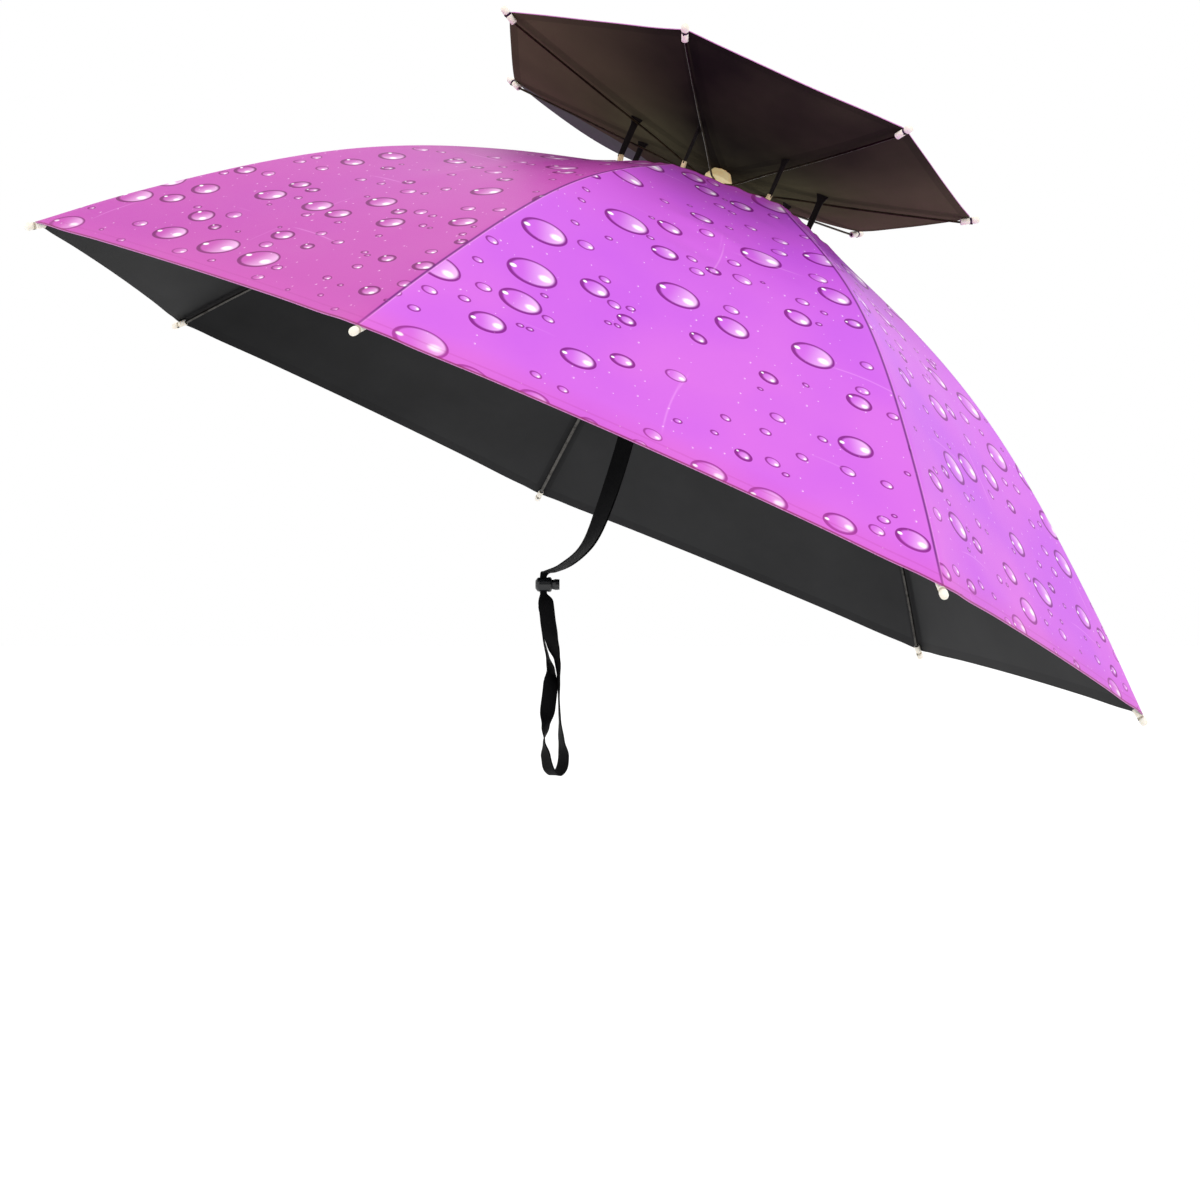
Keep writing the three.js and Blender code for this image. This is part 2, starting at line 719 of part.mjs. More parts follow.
function strapEnd(side) {
  const angle = bandAngleToward(vec(strapEndForward, side, 0));
  const outside = bandThickness + seatGap + strapThickness / 2;
  const low = bandPoint(angle, outside, -bandHeight / 2).applyMatrix4(hat.matrixWorld);
  const high = bandPoint(angle, outside, strapLap - bandHeight / 2).applyMatrix4(hat.matrixWorld);
  const along = bandPoint(angle + 0.01, 0, 0).sub(bandPoint(angle, 0, 0));
  const wide = along.transformDirection(hat.matrixWorld);
  return { low, high, wide };
}

function makeChinStrap() {
  const near = strapEnd(-1);
  const far = strapEnd(1);
  const key = (at, wide, full) => ({ at, wide, full });
  const face = faceRoute.map((row) => {
    const at = vec(-row.forward * sliderForward, (-row.out * headWidth) / 2, -row.drop * sliderDrop);
    return key(at, vec(...row.wide), row.full);
  });
  const mirrored = (v, sign) => vec(v.x * sign, -v.y * sign, v.z * sign);
  const farFace = face.map((row) => key(mirrored(row.at, 1), mirrored(row.wide, -1), row.full)).reverse();
  const loop = loopRoute.map((row) => {
    const at = vec(row.across * strapWidth, row.out * strapWidth, -row.down * loopLength);
    return key(at.add(sliderPlace), vec(...row.wide), row.full);
  });
  const beside = (gatheredThickness + seatGap) / 2;
  const passage = (side) =>
    [1, 0, -1].map((level) => {
      const height = level * (sliderHeight / 2 + sliderEntry);
      return key(vec(0, side * beside, height).add(sliderPlace), vec(-side, 0, 0), 0);
    });
  const keys = [
    key(near.high, near.wide, 1),
    key(near.low, near.wide, 1),
    ...face,
    ...passage(-1),
    ...loop,
    ...passage(1).reverse(),
    ...farFace,
    key(far.low, far.wide, 1),
    key(far.high, far.wide, 1),
  ];
  const centre = new THREE.CatmullRomCurve3(keys.map((row) => row.at), false, 'centripetal');
  const count = (keys.length - 1) * strapSteps;
  const stations = [];
  for (let k = 0; k <= count; k += 1) {
    const here = k / strapSteps;
    const low = Math.min(Math.floor(here), keys.length - 2);
    const t = here - low;
    const ease = t * t * (3 - 2 * t);
    const full = keys[low].full + (keys[low + 1].full - keys[low].full) * ease;
    stations.push({
      at: centre.getPoint(k / count),
      wide: keys[low].wide.clone().lerp(keys[low + 1].wide, ease).normalize(),
      width: gatheredWidth + (strapWidth - gatheredWidth) * full,
      thickness: gatheredThickness + (strapThickness - gatheredThickness) * full,
    });
  }
  return ribbon(stations);
}

function makeSlider() {
  const half = sliderWidth / 2;
  const radius = sliderHeight / 2;
  const body = turned(
    [
      [0, -half],
      [radius * 0.55, -half],
      [radius * 0.88, half * -0.77],
      [radius, half * -0.5],
      [radius, half * 0.85],
      [radius * 0.86, half],
      [radius * 0.62, half + sliderWing * 0.08],
      [radius * 0.74, half + sliderWing * 0.5],
      [radius * 0.7, half + sliderWing],
      [0, half + sliderWing],
    ],
    sliderSides,
  );
  body.rotateY(Math.PI / 2);
  body.scale(1, sliderDepth / sliderHeight, 1);
  const bore = rod(sliderBore, vec(0, 0, -sliderHeight), vec(0, 0, sliderHeight), sliderSides);
  return fromSolid(toSolid(body).subtract(toSolid(bore)));
}

hat.add(piece('lower_canopy', lowerCanopy, colours.lowerCloth));
hat.add(piece('upper_canopy', upperCanopy, colours.upperCloth));
for (let rib = 0; rib < ribCount; rib += 1) {
  const n = rib + 1;
  hat.add(piece(`lower_rib_${n}`, wire(lowerRibPath(rib), lowerWireRadius, lowerWireSteps), colours.wire));
  hat.add(piece(`upper_rib_${n}`, wire(upperRibPath(rib), upperWireRadius, upperWireSteps), colours.wire));
  hat.add(ribTip(`lower_tip_${n}`, lowerRibPoint, rib, lowerWireRadius));
  hat.add(ribTip(`upper_tip_${n}`, upperRibPoint, rib, upperWireRadius));
  hat.add(ribClip(rib));
  hat.add(piece(`vent_tie_${n}`, ventTie(rib), colours.webbing));
  hat.add(piece(`band_hanger_${n}`, bandHanger(rib), colours.webbing));
}
hat.add(piece('hub', makeHub(), colours.hub));
hat.add(piece('top_button', makeButton(), colours.tip));
hat.add(piece('headband', makeHeadband(), colours.webbing));

const umbrellaHat = new THREE.Group();
umbrellaHat.add(hat);
umbrellaHat.add(piece('chin_strap', makeChinStrap(), colours.webbing));
const slider = piece('strap_slider', makeSlider(), colours.slider);
slider.position.copy(sliderPlace);
umbrellaHat.add(slider);

export default umbrellaHat;
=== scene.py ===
import math

import bpy
from mathutils import Matrix, Vector, noise


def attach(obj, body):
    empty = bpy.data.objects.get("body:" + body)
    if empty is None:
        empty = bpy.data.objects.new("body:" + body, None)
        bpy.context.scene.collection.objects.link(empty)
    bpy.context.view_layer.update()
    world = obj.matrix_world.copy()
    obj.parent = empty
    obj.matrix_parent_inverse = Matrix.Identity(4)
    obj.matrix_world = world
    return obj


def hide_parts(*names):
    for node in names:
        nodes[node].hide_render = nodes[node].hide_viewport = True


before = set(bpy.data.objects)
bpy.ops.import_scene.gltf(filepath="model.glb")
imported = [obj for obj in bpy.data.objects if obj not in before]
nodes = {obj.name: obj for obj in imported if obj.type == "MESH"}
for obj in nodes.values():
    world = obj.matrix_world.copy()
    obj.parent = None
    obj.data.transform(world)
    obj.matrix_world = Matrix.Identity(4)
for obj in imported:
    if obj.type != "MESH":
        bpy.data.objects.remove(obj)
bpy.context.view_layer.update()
mm = 0.001
ribCount = 7
up = Vector((0, 0, 1))
print("frame loaded,", len(nodes), "nodes")


# colours and nodes

def linear(hexColour, alpha=1.0):
    parts = [int(hexColour[k : k + 2], 16) / 255 for k in (1, 3, 5)]
    return tuple(c / 12.92 if c <= 0.04045 else ((c + 0.055) / 1.055) ** 2.4 for c in parts) + (alpha,)


def addNode(tree, kind, inputs=None, **settings):
    node = tree.nodes.new(kind)
    for name, value in settings.items():
        setattr(node, name, value)
    for key, value in (inputs or {}).items():
        if isinstance(value, bpy.types.Node):
            value = value.outputs[0]
        if isinstance(value, bpy.types.NodeSocket):
            tree.links.new(value, node.inputs[key])
        else:
            node.inputs[key].default_value = value
    return node


def newMaterial(name, **constants):
    material = bpy.data.materials.new(name)
    material.use_nodes = True
    tree = material.node_tree
    shader = tree.nodes["Principled BSDF"]
    for key, value in constants.items():
        shader.inputs[key.replace("_", " ")].default_value = value
    return material, tree, shader


# The hat's own shape, in metres, in the frame of its tilted axis

hat = {
    "tiltBack": math.radians(23.54),
    "leanAway": math.radians(1.74),
    "firstRib": math.radians(199.4),
    "brimRadius": 385 * mm,
    "crownHeight": 201 * mm,
    "bandToBrim": 80 * mm,
    "ventRadius": 85 * mm,
    "scallop": 3.5 * mm,
    "sag": 4 * mm,
    "crownLean": 6.6 * mm,
    "crownLeanAngle": math.radians(322),
    "topRadius": 167.4 * mm,
    "topRim": 166.3 * mm,
    "topCentre": 139.5 * mm,
    "topHole": 3.6 * mm,
    "topTwist": math.radians(5.4),
    "topLean": (math.radians(-3.67), math.radians(-2.82)),
    "topOffset": (-7.2 * mm, -0.2 * mm),
    "hemDroop": 7 * mm,
    "topSag": 2.5 * mm,
    "bowlPower": 1.4,
    "ribDrop": 1.2 * mm + 2.7 * mm / math.sin(math.radians(75)),
}
lowerRise = [1.0, 0.983, 0.946, 0.89, 0.818, 0.73, 0.621, 0.488, 0.337, 0.175, 0.0]  # at tenths of the brim radius
panels = [  # each with its first rib's values: how brown and how dark it is underneath, which is painted sheen and painted shade on the dark coat, and the vent hem's rise in mm; tone is how much pinker the print is drawn, which is painted light
    {"scallop": 0.6, "sag": 0.8, "droop": 0.15, "tone": 1.0, "brown": 0.9, "grey": 0.0, "lift": 0.5},
    {"scallop": 1.0, "sag": 1.0, "droop": 0.1, "tone": 0.1, "brown": 0.04, "grey": 1.0, "lift": 3.5},
    {"scallop": 0.7, "sag": 1.0, "droop": 0.15, "tone": 0.0, "brown": 0.2, "grey": 1.0, "lift": 5.0},
    {"scallop": 0.6, "sag": 0.8, "droop": 0.2, "tone": 0.25, "brown": 0.85, "grey": 1.0, "lift": 5.0},
    {"scallop": 0.6, "sag": 0.8, "droop": 0.3, "tone": 0.1, "brown": 0.9, "grey": 0.95, "lift": 3.0},
    {"scallop": 0.6, "sag": 0.9, "droop": 1.0, "tone": 0.5, "brown": 0.3, "grey": 0.8, "lift": 2.0},
    {"scallop": 0.6, "sag": 0.9, "droop": 0.3, "tone": 0.8, "brown": 0.9, "grey": 0.15, "lift": 1.0},
]
hatTurn = Matrix.Rotation(-hat["leanAway"], 3, "X") @ Matrix.Rotation(hat["tiltBack"], 3, "Y")
topTurn = Matrix.Rotation(hat["topLean"][0], 3, "X") @ Matrix.Rotation(hat["topLean"][1], 3, "Y")
ventShare = hat["ventRadius"] / hat["brimRadius"]
panelAngle = 2 * math.pi / ribCount


def readRise(reach):
    k = min(int(reach * 10), 9)
    t = reach * 10 - k
    slope = lambda j: (lowerRise[min(j + 1, 10)] - lowerRise[max(j - 1, 0)]) / (min(j + 1, 10) - max(j - 1, 0))
    start = slope(k) if k else 0.0
    rest = 1 - t
    low = lowerRise[k] * (1 + 2 * t) * rest * rest + start * t * rest * rest
    return low + lowerRise[k + 1] * t * t * (3 - 2 * t) - slope(k + 1) * t * t * rest


def ribAngle(rib):
    return hat["firstRib"] + panelAngle * rib


def lowerRibPoint(rib, share):
    angle = ribAngle(rib)
    lean = 6.75 * share * (1 - share) ** 2 * math.cos(angle - hat["crownLeanAngle"])
    height = -hat["bandToBrim"] + hat["crownHeight"] * readRise(share) + hat["crownLean"] * lean
    reach = hat["brimRadius"] * share
    return Vector((reach * math.cos(angle), reach * math.sin(angle), height))


def topCorner(rib):
    angle = ribAngle(rib) + hat["topTwist"]
    corner = topTurn @ Vector((math.cos(angle), math.sin(angle), 0)) * hat["topRadius"]
    return corner + Vector((*hat["topOffset"], hat["topRim"]))


topCorners = [topCorner(rib) for rib in range(ribCount)]


def upperRibPoint(rib, share):
    corner = topCorners[rib % ribCount]
    rise = (corner.z - hat["topCentre"]) * share ** hat["bowlPower"]
    return Vector((corner.x * share, corner.y * share, hat["topCentre"] + rise))


def ribFrame(ribPoint, rib, share):
    high = min(share + 0.004, 1)
    low = max(high - 0.008, 0)
    along = (ribPoint(rib, high) - ribPoint(rib, low)).normalized()
    side = up.cross(along).normalized()
    return along, side, along.cross(side)


def splitRound(way):
    panel = int(math.floor(way + 1e-9)) % ribCount
    return panel, min(max(way - math.floor(way + 1e-9), 0.0), 1.0)


# Folds pressed into the cloth from storing it: each runs between two places, given as
# across a panel and out from the crown, and stands up by rise over a width.
folds = [
    {"panel": 1, "start": (0.50, 0.24), "end": (0.52, 0.60), "rise": 0.9, "width": 5},
    {"panel": 1, "start": (0.52, 0.60), "end": (0.49, 0.97), "rise": 0.7, "width": 7},
    {"panel": 1, "start": (0.30, 0.47), "end": (0.60, 0.50), "rise": 2.1, "width": 10},
    {"panel": 1, "start": (0.36, 0.56), "end": (0.57, 0.57), "rise": -1.6, "width": 9},
    {"panel": 1, "start": (0.40, 0.31), "end": (0.66, 0.33), "rise": 0.9, "width": 3},
    {"panel": 1, "start": (0.62, 0.30), "end": (0.80, 0.36), "rise": 0.8, "width": 3},
    {"panel": 1, "start": (0.74, 0.26), "end": (0.90, 0.33), "rise": 0.9, "width": 3},
    {"panel": 1, "start": (0.90, 0.24), "end": (0.80, 0.30), "rise": 0.8, "width": 3},
    {"panel": 1, "start": (0.60, 0.54), "end": (0.78, 0.55), "rise": 0.6, "width": 4},
    {"panel": 1, "start": (0.08, 0.93), "end": (0.26, 0.86), "rise": 0.8, "width": 5},
    {"panel": 0, "start": (0.50, 0.24), "end": (0.50, 0.97), "rise": 0.7, "width": 6},
    {"panel": 0, "start": (0.55, 0.30), "end": (0.95, 0.38), "rise": 1.0, "width": 8},
    {"panel": 2, "start": (0.50, 0.26), "end": (0.50, 0.97), "rise": 0.7, "width": 6},
    {"panel": 2, "start": (0.05, 0.90), "end": (0.35, 0.97), "rise": 0.9, "width": 5},
    {"panel": 3, "start": (0.50, 0.24), "end": (0.49, 0.97), "rise": 0.8, "width": 6},
    {"panel": 3, "start": (0.25, 0.52), "end": (0.75, 0.50), "rise": 0.9, "width": 8},
    {"panel": 4, "start": (0.50, 0.24), "end": (0.51, 0.97), "rise": 0.8, "width": 6},
    {"panel": 4, "start": (0.30, 0.40), "end": (0.70, 0.44), "rise": -0.8, "width": 7},
    {"panel": 5, "start": (0.50, 0.24), "end": (0.50, 0.97), "rise": 0.8, "width": 6},
    {"panel": 5, "start": (0.20, 0.62), "end": (0.80, 0.60), "rise": 0.8, "width": 8},
    {"panel": 6, "start": (0.50, 0.24), "end": (0.50, 0.97), "rise": 0.7, "width": 6},
]


def foldRise(panel, flat):
    # flat is the place on the panel's cut, in metres
    total = 0.0
    for fold in folds:
        if fold["panel"] != panel:
            continue
        start, end = [Vector(panelFlat(*fold[key])) for key in ("start", "end")]
        run = end - start
        t = min(max((flat - start).dot(run) / run.length_squared, 0), 1)
        away = (flat - start - run * t).length / (fold["width"] * mm)
        fade = math.sin(math.pi * min(max(t, 0.02), 0.98)) ** 0.5
        total += fold["rise"] * mm * fade * math.exp(-away * away * 2)
    return total


def panelFlat(across, share):
    # a panel's cut: its width at this share, and the way out along it
    width = 2 * hat["brimRadius"] * share * math.sin(panelAngle / 2)
    out = hat["brimRadius"] * share * (1 + 0.19 * share * share)
    return (across - 0.5) * width, out


def lowerSurface(way, share, detail=True):
    panel, across = splitRound(way)
    bow = 4 * across * (1 - across)
    pulled = share * (1 - hat["scallop"] * panels[panel]["scallop"] / hat["brimRadius"] * bow * share**4)
    at = lowerRibPoint(panel, pulled).lerp(lowerRibPoint((panel + 1) % ribCount, pulled), across)
    sag = hat["sag"] * panels[panel]["sag"] * bow * math.sin(math.pi * share)
    flatWay = Vector((at.x, at.y, 0)).normalized()
    pull = (flatWay * share + up).normalized()
    at = at - pull * sag
    if detail:
        flat = Vector(panelFlat(across, share))
        free = min(bow * 1.5, 1) * min((share - ventShare) * 12, 1) * min((1 - share) * 14, 1)
        soft = noise.noise(Vector((flat.x * 14, flat.y * 11, panel * 7.3))) * 1.3 * mm
        gather = math.sin(across * 31 + panel * 2 + noise.noise(Vector((across * 6, panel, 0))) * 3)
        nearVent = math.exp(-((share - ventShare) / 0.045))
        nearTip = math.exp(-((1 - share) / 0.05)) * math.exp(-(((0.5 - abs(across - 0.5)) / 0.12) ** 2))
        pucker = math.sin((0.5 - abs(across - 0.5)) * 150) * nearTip * 0.7 * mm
        ribLift = panels[panel]["lift"] * (1 - across) + panels[(panel + 1) % ribCount]["lift"] * across
        ventLift = (ribLift + 2.4 * bow) * mm * math.exp(-((share - ventShare) / 0.06))
        lift = ventLift + soft * free + foldRise(panel, flat) * min(bow * 3, 1) + gather * nearVent * bow * 0.8 * mm + pucker * bow * 4
        at = at + pull * lift
    return at


def upperSurface(way, share, detail=True):
    panel, across = splitRound(way)
    bow = 4 * across * (1 - across)
    at = upperRibPoint(panel, share).lerp(upperRibPoint(panel + 1, share), across)
    at.z -= hat["hemDroop"] * panels[panel]["droop"] * bow * share**6
    at.z -= hat["topSag"] * bow * math.sin(math.pi * share)
    if detail:
        wrinkle = math.sin(across * 22 + panel * 1.7 + 2 * noise.noise(Vector((across * 4, share * 2, panel * 3.1))))
        fan = math.exp(-((share - 0.35) / 0.3) ** 2)
        at.z += (wrinkle * 0.7 * fan + noise.noise(Vector((at.x * 16, at.y * 16, 5))) * 1.2) * mm * min(bow * 1.6, 1)
    return at


def tipPlace(ribPoint, rib):
    along, side, normal = ribFrame(ribPoint, rib, 1)
    seat = ribPoint(rib, 1) - normal * hat["ribDrop"]
    return seat - along * 6.5 * mm, along, side, normal


def toRow(point):
    return hatTurn @ point


# mesh helpers, mostly with Blender's own operators

def clearSelection():
    if bpy.context.object and bpy.context.object.mode != "OBJECT":
        bpy.ops.object.mode_set(mode="OBJECT")
    bpy.ops.object.select_all(action="DESELECT")


def only(piece):
    clearSelection()
    piece.select_set(True)
    bpy.context.view_layer.objects.active = piece


def applied(piece, kind, **settings):
    only(piece)
    modifier = piece.modifiers.new(kind.title(), kind)
    for key, value in settings.items():
        setattr(modifier, key, value)
    bpy.ops.object.modifier_apply(modifier=modifier.name)


def shapedGrid(name, columns, rows, place):
    # a flat grid of columns by rows, each point then taken to its place on the real piece
    clearSelection()
    bpy.ops.mesh.primitive_grid_add(x_subdivisions=columns, y_subdivisions=rows, size=1, location=(0, 0, 0))
    piece = bpy.context.object
    piece.name = piece.data.name = name
    shares = [(v.co.x + 0.5, v.co.y + 0.5) for v in piece.data.vertices]
    for vertex, (u, v) in zip(piece.data.vertices, shares):
        vertex.co = place(u, v)
    return piece, shares


def closeSeams(piece, gap=0.00002):
    only(piece)
    bpy.ops.object.mode_set(mode="EDIT")
    bpy.ops.mesh.select_all(action="SELECT")
    bpy.ops.mesh.remove_doubles(threshold=gap)
    bpy.ops.mesh.normals_make_consistent(inside=False)
    bpy.ops.object.mode_set(mode="OBJECT")


def flipIfDown(piece):
    total = sum((f.normal.z * f.area for f in piece.data.polygons), 0.0)
    if total < 0:
        only(piece)
        bpy.ops.object.mode_set(mode="EDIT")
        bpy.ops.mesh.select_all(action="SELECT")
        bpy.ops.mesh.flip_normals()
        bpy.ops.object.mode_set(mode="OBJECT")


def smooth(piece, degrees=40):
    only(piece)
    bpy.ops.object.shade_smooth_by_angle(angle=math.radians(degrees))


def turnedPiece(name, profile, sides):
    # a ring that is extruded and resized from one radius to the next, closed at both ends
    clearSelection()
    radius, height = profile[0]
    bpy.ops.mesh.primitive_circle_add(vertices=sides, radius=radius, fill_type="NGON", location=(0, 0, 0))
    piece = bpy.context.object
    piece.name = piece.data.name = name
    bpy.ops.object.mode_set(mode="EDIT")
    bpy.ops.mesh.select_all(action="SELECT")
    bpy.ops.transform.translate(value=(0, 0, height))
    for nextRadius, nextHeight in profile[1:]:
        bpy.ops.mesh.extrude_region_move(TRANSFORM_OT_translate={"value": (0, 0, nextHeight - height)})
        share = nextRadius / radius
        bpy.ops.transform.resize(value=(share, share, 1), center_override=(0, 0, nextHeight))
        radius, height = nextRadius, nextHeight
    bpy.ops.mesh.select_all(action="SELECT")
    bpy.ops.mesh.normals_make_consistent(inside=False)
    bpy.ops.object.mode_set(mode="OBJECT")
    return piece


def settle(piece, matrix):
    # the place goes into the mesh, and the object stays at the origin
    piece.matrix_world = matrix
    only(piece)
    bpy.ops.object.transform_apply(location=True, rotation=True, scale=True)


def copyOf(piece, name):
    only(piece)
    bpy.ops.object.duplicate(linked=False)
    copy = bpy.context.object
    copy.name = copy.data.name = name
    return copy


def joined(name, parts):
    clearSelection()
    for part in parts:
        part.select_set(True)
    bpy.context.view_layer.objects.active = parts[0]
    bpy.ops.object.join()
    whole = bpy.context.object
    whole.name = whole.data.name = name
    return whole


def give(piece, *materials):
    piece.data.materials.clear()
    for material in materials:
        piece.data.materials.append(material)


def ribbonPiece(name, stations, columns=4, bulge=0.0):
    # a flat strap through stations: each has its centre, the way its width runs, its width and thickness
    last = len(stations) - 1

    def place(u, v):
        station = stations[round(v * last)]
        k = round(v * last)
        along = (stations[min(k + 1, last)]["at"] - stations[max(k - 1, 0)]["at"]).normalized()
        wide = (station["wide"] - along * station["wide"].dot(along)).normalized()
        thick = along.cross(wide)
        crown = bulge * (1 - (2 * u - 1) ** 2)
        return station["at"] + wide * (u - 0.5) * station["width"] + thick * crown

    piece, shares = shapedGrid(name, columns, last, place)
    lengths = [0.0]
    for before, after in zip(stations, stations[1:]):
        lengths.append(lengths[-1] + (after["at"] - before["at"]).length)
    uv = piece.data.uv_layers[0]
    for loop in piece.data.loops:
        u, v = shares[loop.vertex_index]
        k = round(v * last)
        uv.data[loop.index].uv = ((u - 0.5) * stations[k]["width"], lengths[k])
    return piece


def smoothRoute(keys, perKey):
    # a centripetal Catmull-Rom line through the keys' places
    points = [key["at"] for key in keys]
    first = points[0] * 2 - points[1]
    final = points[-1] * 2 - points[-2]
    padded = [first, *points, final]
    stations = []
    for k in range(len(points) - 1):
        p = padded[k : k + 4]
        gaps = [max((p[j + 1] - p[j]).length, 1e-6) ** 0.5 for j in range(3)]
        for step in range(perKey + (k == len(points) - 2)):
            t = step / perKey
            m1 = ((p[1] - p[0]) / gaps[0] - (p[2] - p[0]) / (gaps[0] + gaps[1]) + (p[2] - p[1]) / gaps[1]) * gaps[1]
            m2 = ((p[2] - p[1]) / gaps[1] - (p[3] - p[1]) / (gaps[1] + gaps[2]) + (p[3] - p[2]) / gaps[2]) * gaps[1]
            h = (2 * t**3 - 3 * t * t + 1, t**3 - 2 * t * t + t, 3 * t * t - 2 * t**3, t**3 - t * t)
            ease = t * t * (3 - 2 * t)
            low, high = keys[k], keys[k + 1]
            full = low["full"] + (high["full"] - low["full"]) * ease
            stations.append({
                "at": p[1] * h[0] + m1 * h[1] + p[2] * h[2] + m2 * h[3],
                "wide": low["wide"].lerp(high["wide"], ease).normalized(),
                "full": full,
            })
    return stations


# cloth materials

def dropSpots(tree, coords, layer):
    # the round cell that a place lies in, how wide the drop in it is, and whether it has one
    cell = layer["cell"] * mm
    options = {"Vector": coords, "Scale": 1 / cell, "Randomness": layer["scatter"]}
    spots = addNode(tree, "ShaderNodeTexVoronoi", options, voronoi_dimensions="2D", feature="F1")
    room = addNode(tree, "ShaderNodeTexVoronoi", options, voronoi_dimensions="2D", feature="N_SPHERE_RADIUS")
    chance = addNode(tree, "ShaderNodeSeparateColor", {0: spots.outputs["Color"]})
    size = addNode(tree, "ShaderNodeMath", {0: chance.outputs[0], 1: layer["skew"]}, operation="POWER")
    wanted = addNode(tree, "ShaderNodeMapRange", {0: size, 3: layer["small"] * mm, 4: layer["large"] * mm})
    most = addNode(tree, "ShaderNodeMath", {0: room.outputs["Radius"], 1: cell * 0.96}, operation="MULTIPLY")
    radius = addNode(tree, "ShaderNodeMath", {0: wanted, 1: most}, operation="MINIMUM")
    there = addNode(tree, "ShaderNodeMath", {0: chance.outputs[1], 1: layer["chance"]}, operation="LESS_THAN")
    return spots.outputs["Position"], chance, radius, there


def dropLayer(tree, coords, colour, layer, over):
    # raindrops printed on cloth: round cells, each with its own size and turn, seen as a dark
    # outline, a fill that pales to one side, and a highlight near that end
    middle, chance, radius, there = dropSpots(tree, coords, layer)
    if over:
        # no drop lies under a larger one
        larger, _, largerRadius, largerThere = dropSpots(tree, middle, over)
        apart = addNode(tree, "ShaderNodeVectorMath", {0: middle, 1: larger}, operation="DISTANCE")
        needed = addNode(tree, "ShaderNodeMath", {0: radius, 1: largerRadius}, operation="ADD")
        clear = addNode(tree, "ShaderNodeMath", {0: apart.outputs["Value"], 1: needed}, operation="GREATER_THAN")
        bare = addNode(tree, "ShaderNodeMath", {0: 1.0, 1: largerThere}, operation="SUBTRACT")
        free = addNode(tree, "ShaderNodeMath", {0: clear, 1: bare}, operation="MAXIMUM")
        there = addNode(tree, "ShaderNodeMath", {0: there, 1: free}, operation="MULTIPLY")
    offset = addNode(tree, "ShaderNodeVectorMath", {0: coords, 1: middle}, operation="SUBTRACT")
    angle = addNode(tree, "ShaderNodeMapRange", {0: chance.outputs[2], 3: -0.45, 4: 0.45})
    turned = addNode(
        tree, "ShaderNodeVectorRotate", {"Vector": offset, "Angle": angle}, rotation_type="Z_AXIS"
    )
    oval = addNode(tree, "ShaderNodeVectorMath", {0: turned, 1: (1, layer["oval"], 0)}, operation="MULTIPLY")
    share = addNode(tree, "ShaderNodeMath", {0: 1.0, 1: radius}, operation="DIVIDE")
    place = addNode(tree, "ShaderNodeVectorMath", {0: oval, "Scale": share}, operation="SCALE")
    away = addNode(tree, "ShaderNodeVectorMath", {0: place}, operation="LENGTH")
    inside = addNode(
        tree, "ShaderNodeMapRange", {0: away.outputs["Value"], 1: 1.0, 2: layer["edge"], 3: 0.0, 4: there},
        interpolation_type="SMOOTHSTEP",
    )
    inner = addNode(tree, "ShaderNodeVectorMath", {0: place, 1: (-0.03, 0.04, 0)}, operation="ADD")
    innerAway = addNode(tree, "ShaderNodeVectorMath", {0: inner}, operation="LENGTH")
    within = addNode(tree, "ShaderNodeMath", {0: 1.0, 1: innerAway.outputs["Value"]}, operation="SUBTRACT")
    depth = addNode(tree, "ShaderNodeMath", {0: within, 1: radius}, operation="MULTIPLY")
    outline = addNode(
        tree, "ShaderNodeMapRange", {0: depth, 1: layer["line"] * 1.5 * mm, 2: layer["line"] * 0.7 * mm},
        interpolation_type="SMOOTHSTEP",
    )
    parts = addNode(tree, "ShaderNodeSeparateXYZ", {0: place})
    pale = addNode(tree, "ShaderNodeMapRange", {0: parts.outputs[0], 1: -0.5, 2: 0.9}, interpolation_type="SMOOTHSTEP")
    paler = addNode(tree, "ShaderNodeMath", {0: pale, 1: 0.62}, operation="MULTIPLY")
    fill = addNode(tree, "ShaderNodeMix", {0: paler, 6: colour, 7: linear("#f8d2f6")}, data_type="RGBA")
    ink = addNode(
        tree, "ShaderNodeMix", {0: 1.0, 6: colour, 7: linear(layer["outline"])}, data_type="RGBA", blend_type="MULTIPLY"
    )
    glintPlace = addNode(tree, "ShaderNodeVectorMath", {0: place, 1: (-0.5, -0.1, 0)}, operation="ADD")
    glintAway = addNode(tree, "ShaderNodeVectorMath", {0: glintPlace}, operation="LENGTH")
    glint = addNode(
        tree, "ShaderNodeMapRange", {0: glintAway.outputs["Value"], 1: 0.34, 2: 0.1}, interpolation_type="SMOOTHSTEP"
    )
    dotPlace = addNode(tree, "ShaderNodeVectorMath", {0: place, 1: (0.72, 0.12, 0)}, operation="ADD")
    dotAway = addNode(tree, "ShaderNodeVectorMath", {0: dotPlace}, operation="LENGTH")
    dot = addNode(
        tree, "ShaderNodeMapRange", {0: dotAway.outputs["Value"], 1: 0.17, 2: 0.08, 4: layer["dot"]},
        interpolation_type="SMOOTHSTEP",
    )
    lit = addNode(tree, "ShaderNodeMix", {0: glint, 6: fill.outputs[2], 7: linear("#fffaff")}, data_type="RGBA")
    rimmed = addNode(
        tree, "ShaderNodeMix", {0: outline, 6: lit.outputs[2], 7: ink.outputs[2]}, data_type="RGBA"
    )
    dotted = addNode(tree, "ShaderNodeMix", {0: dot, 6: rimmed.outputs[2], 7: linear("#ffffff")}, data_type="RGBA")
    strength = addNode(tree, "ShaderNodeMath", {0: inside, 1: layer["strength"]}, operation="MULTIPLY")
    return addNode(tree, "ShaderNodeMix", {0: strength, 6: colour, 7: dotted.outputs[2]}, data_type="RGBA").outputs[2]


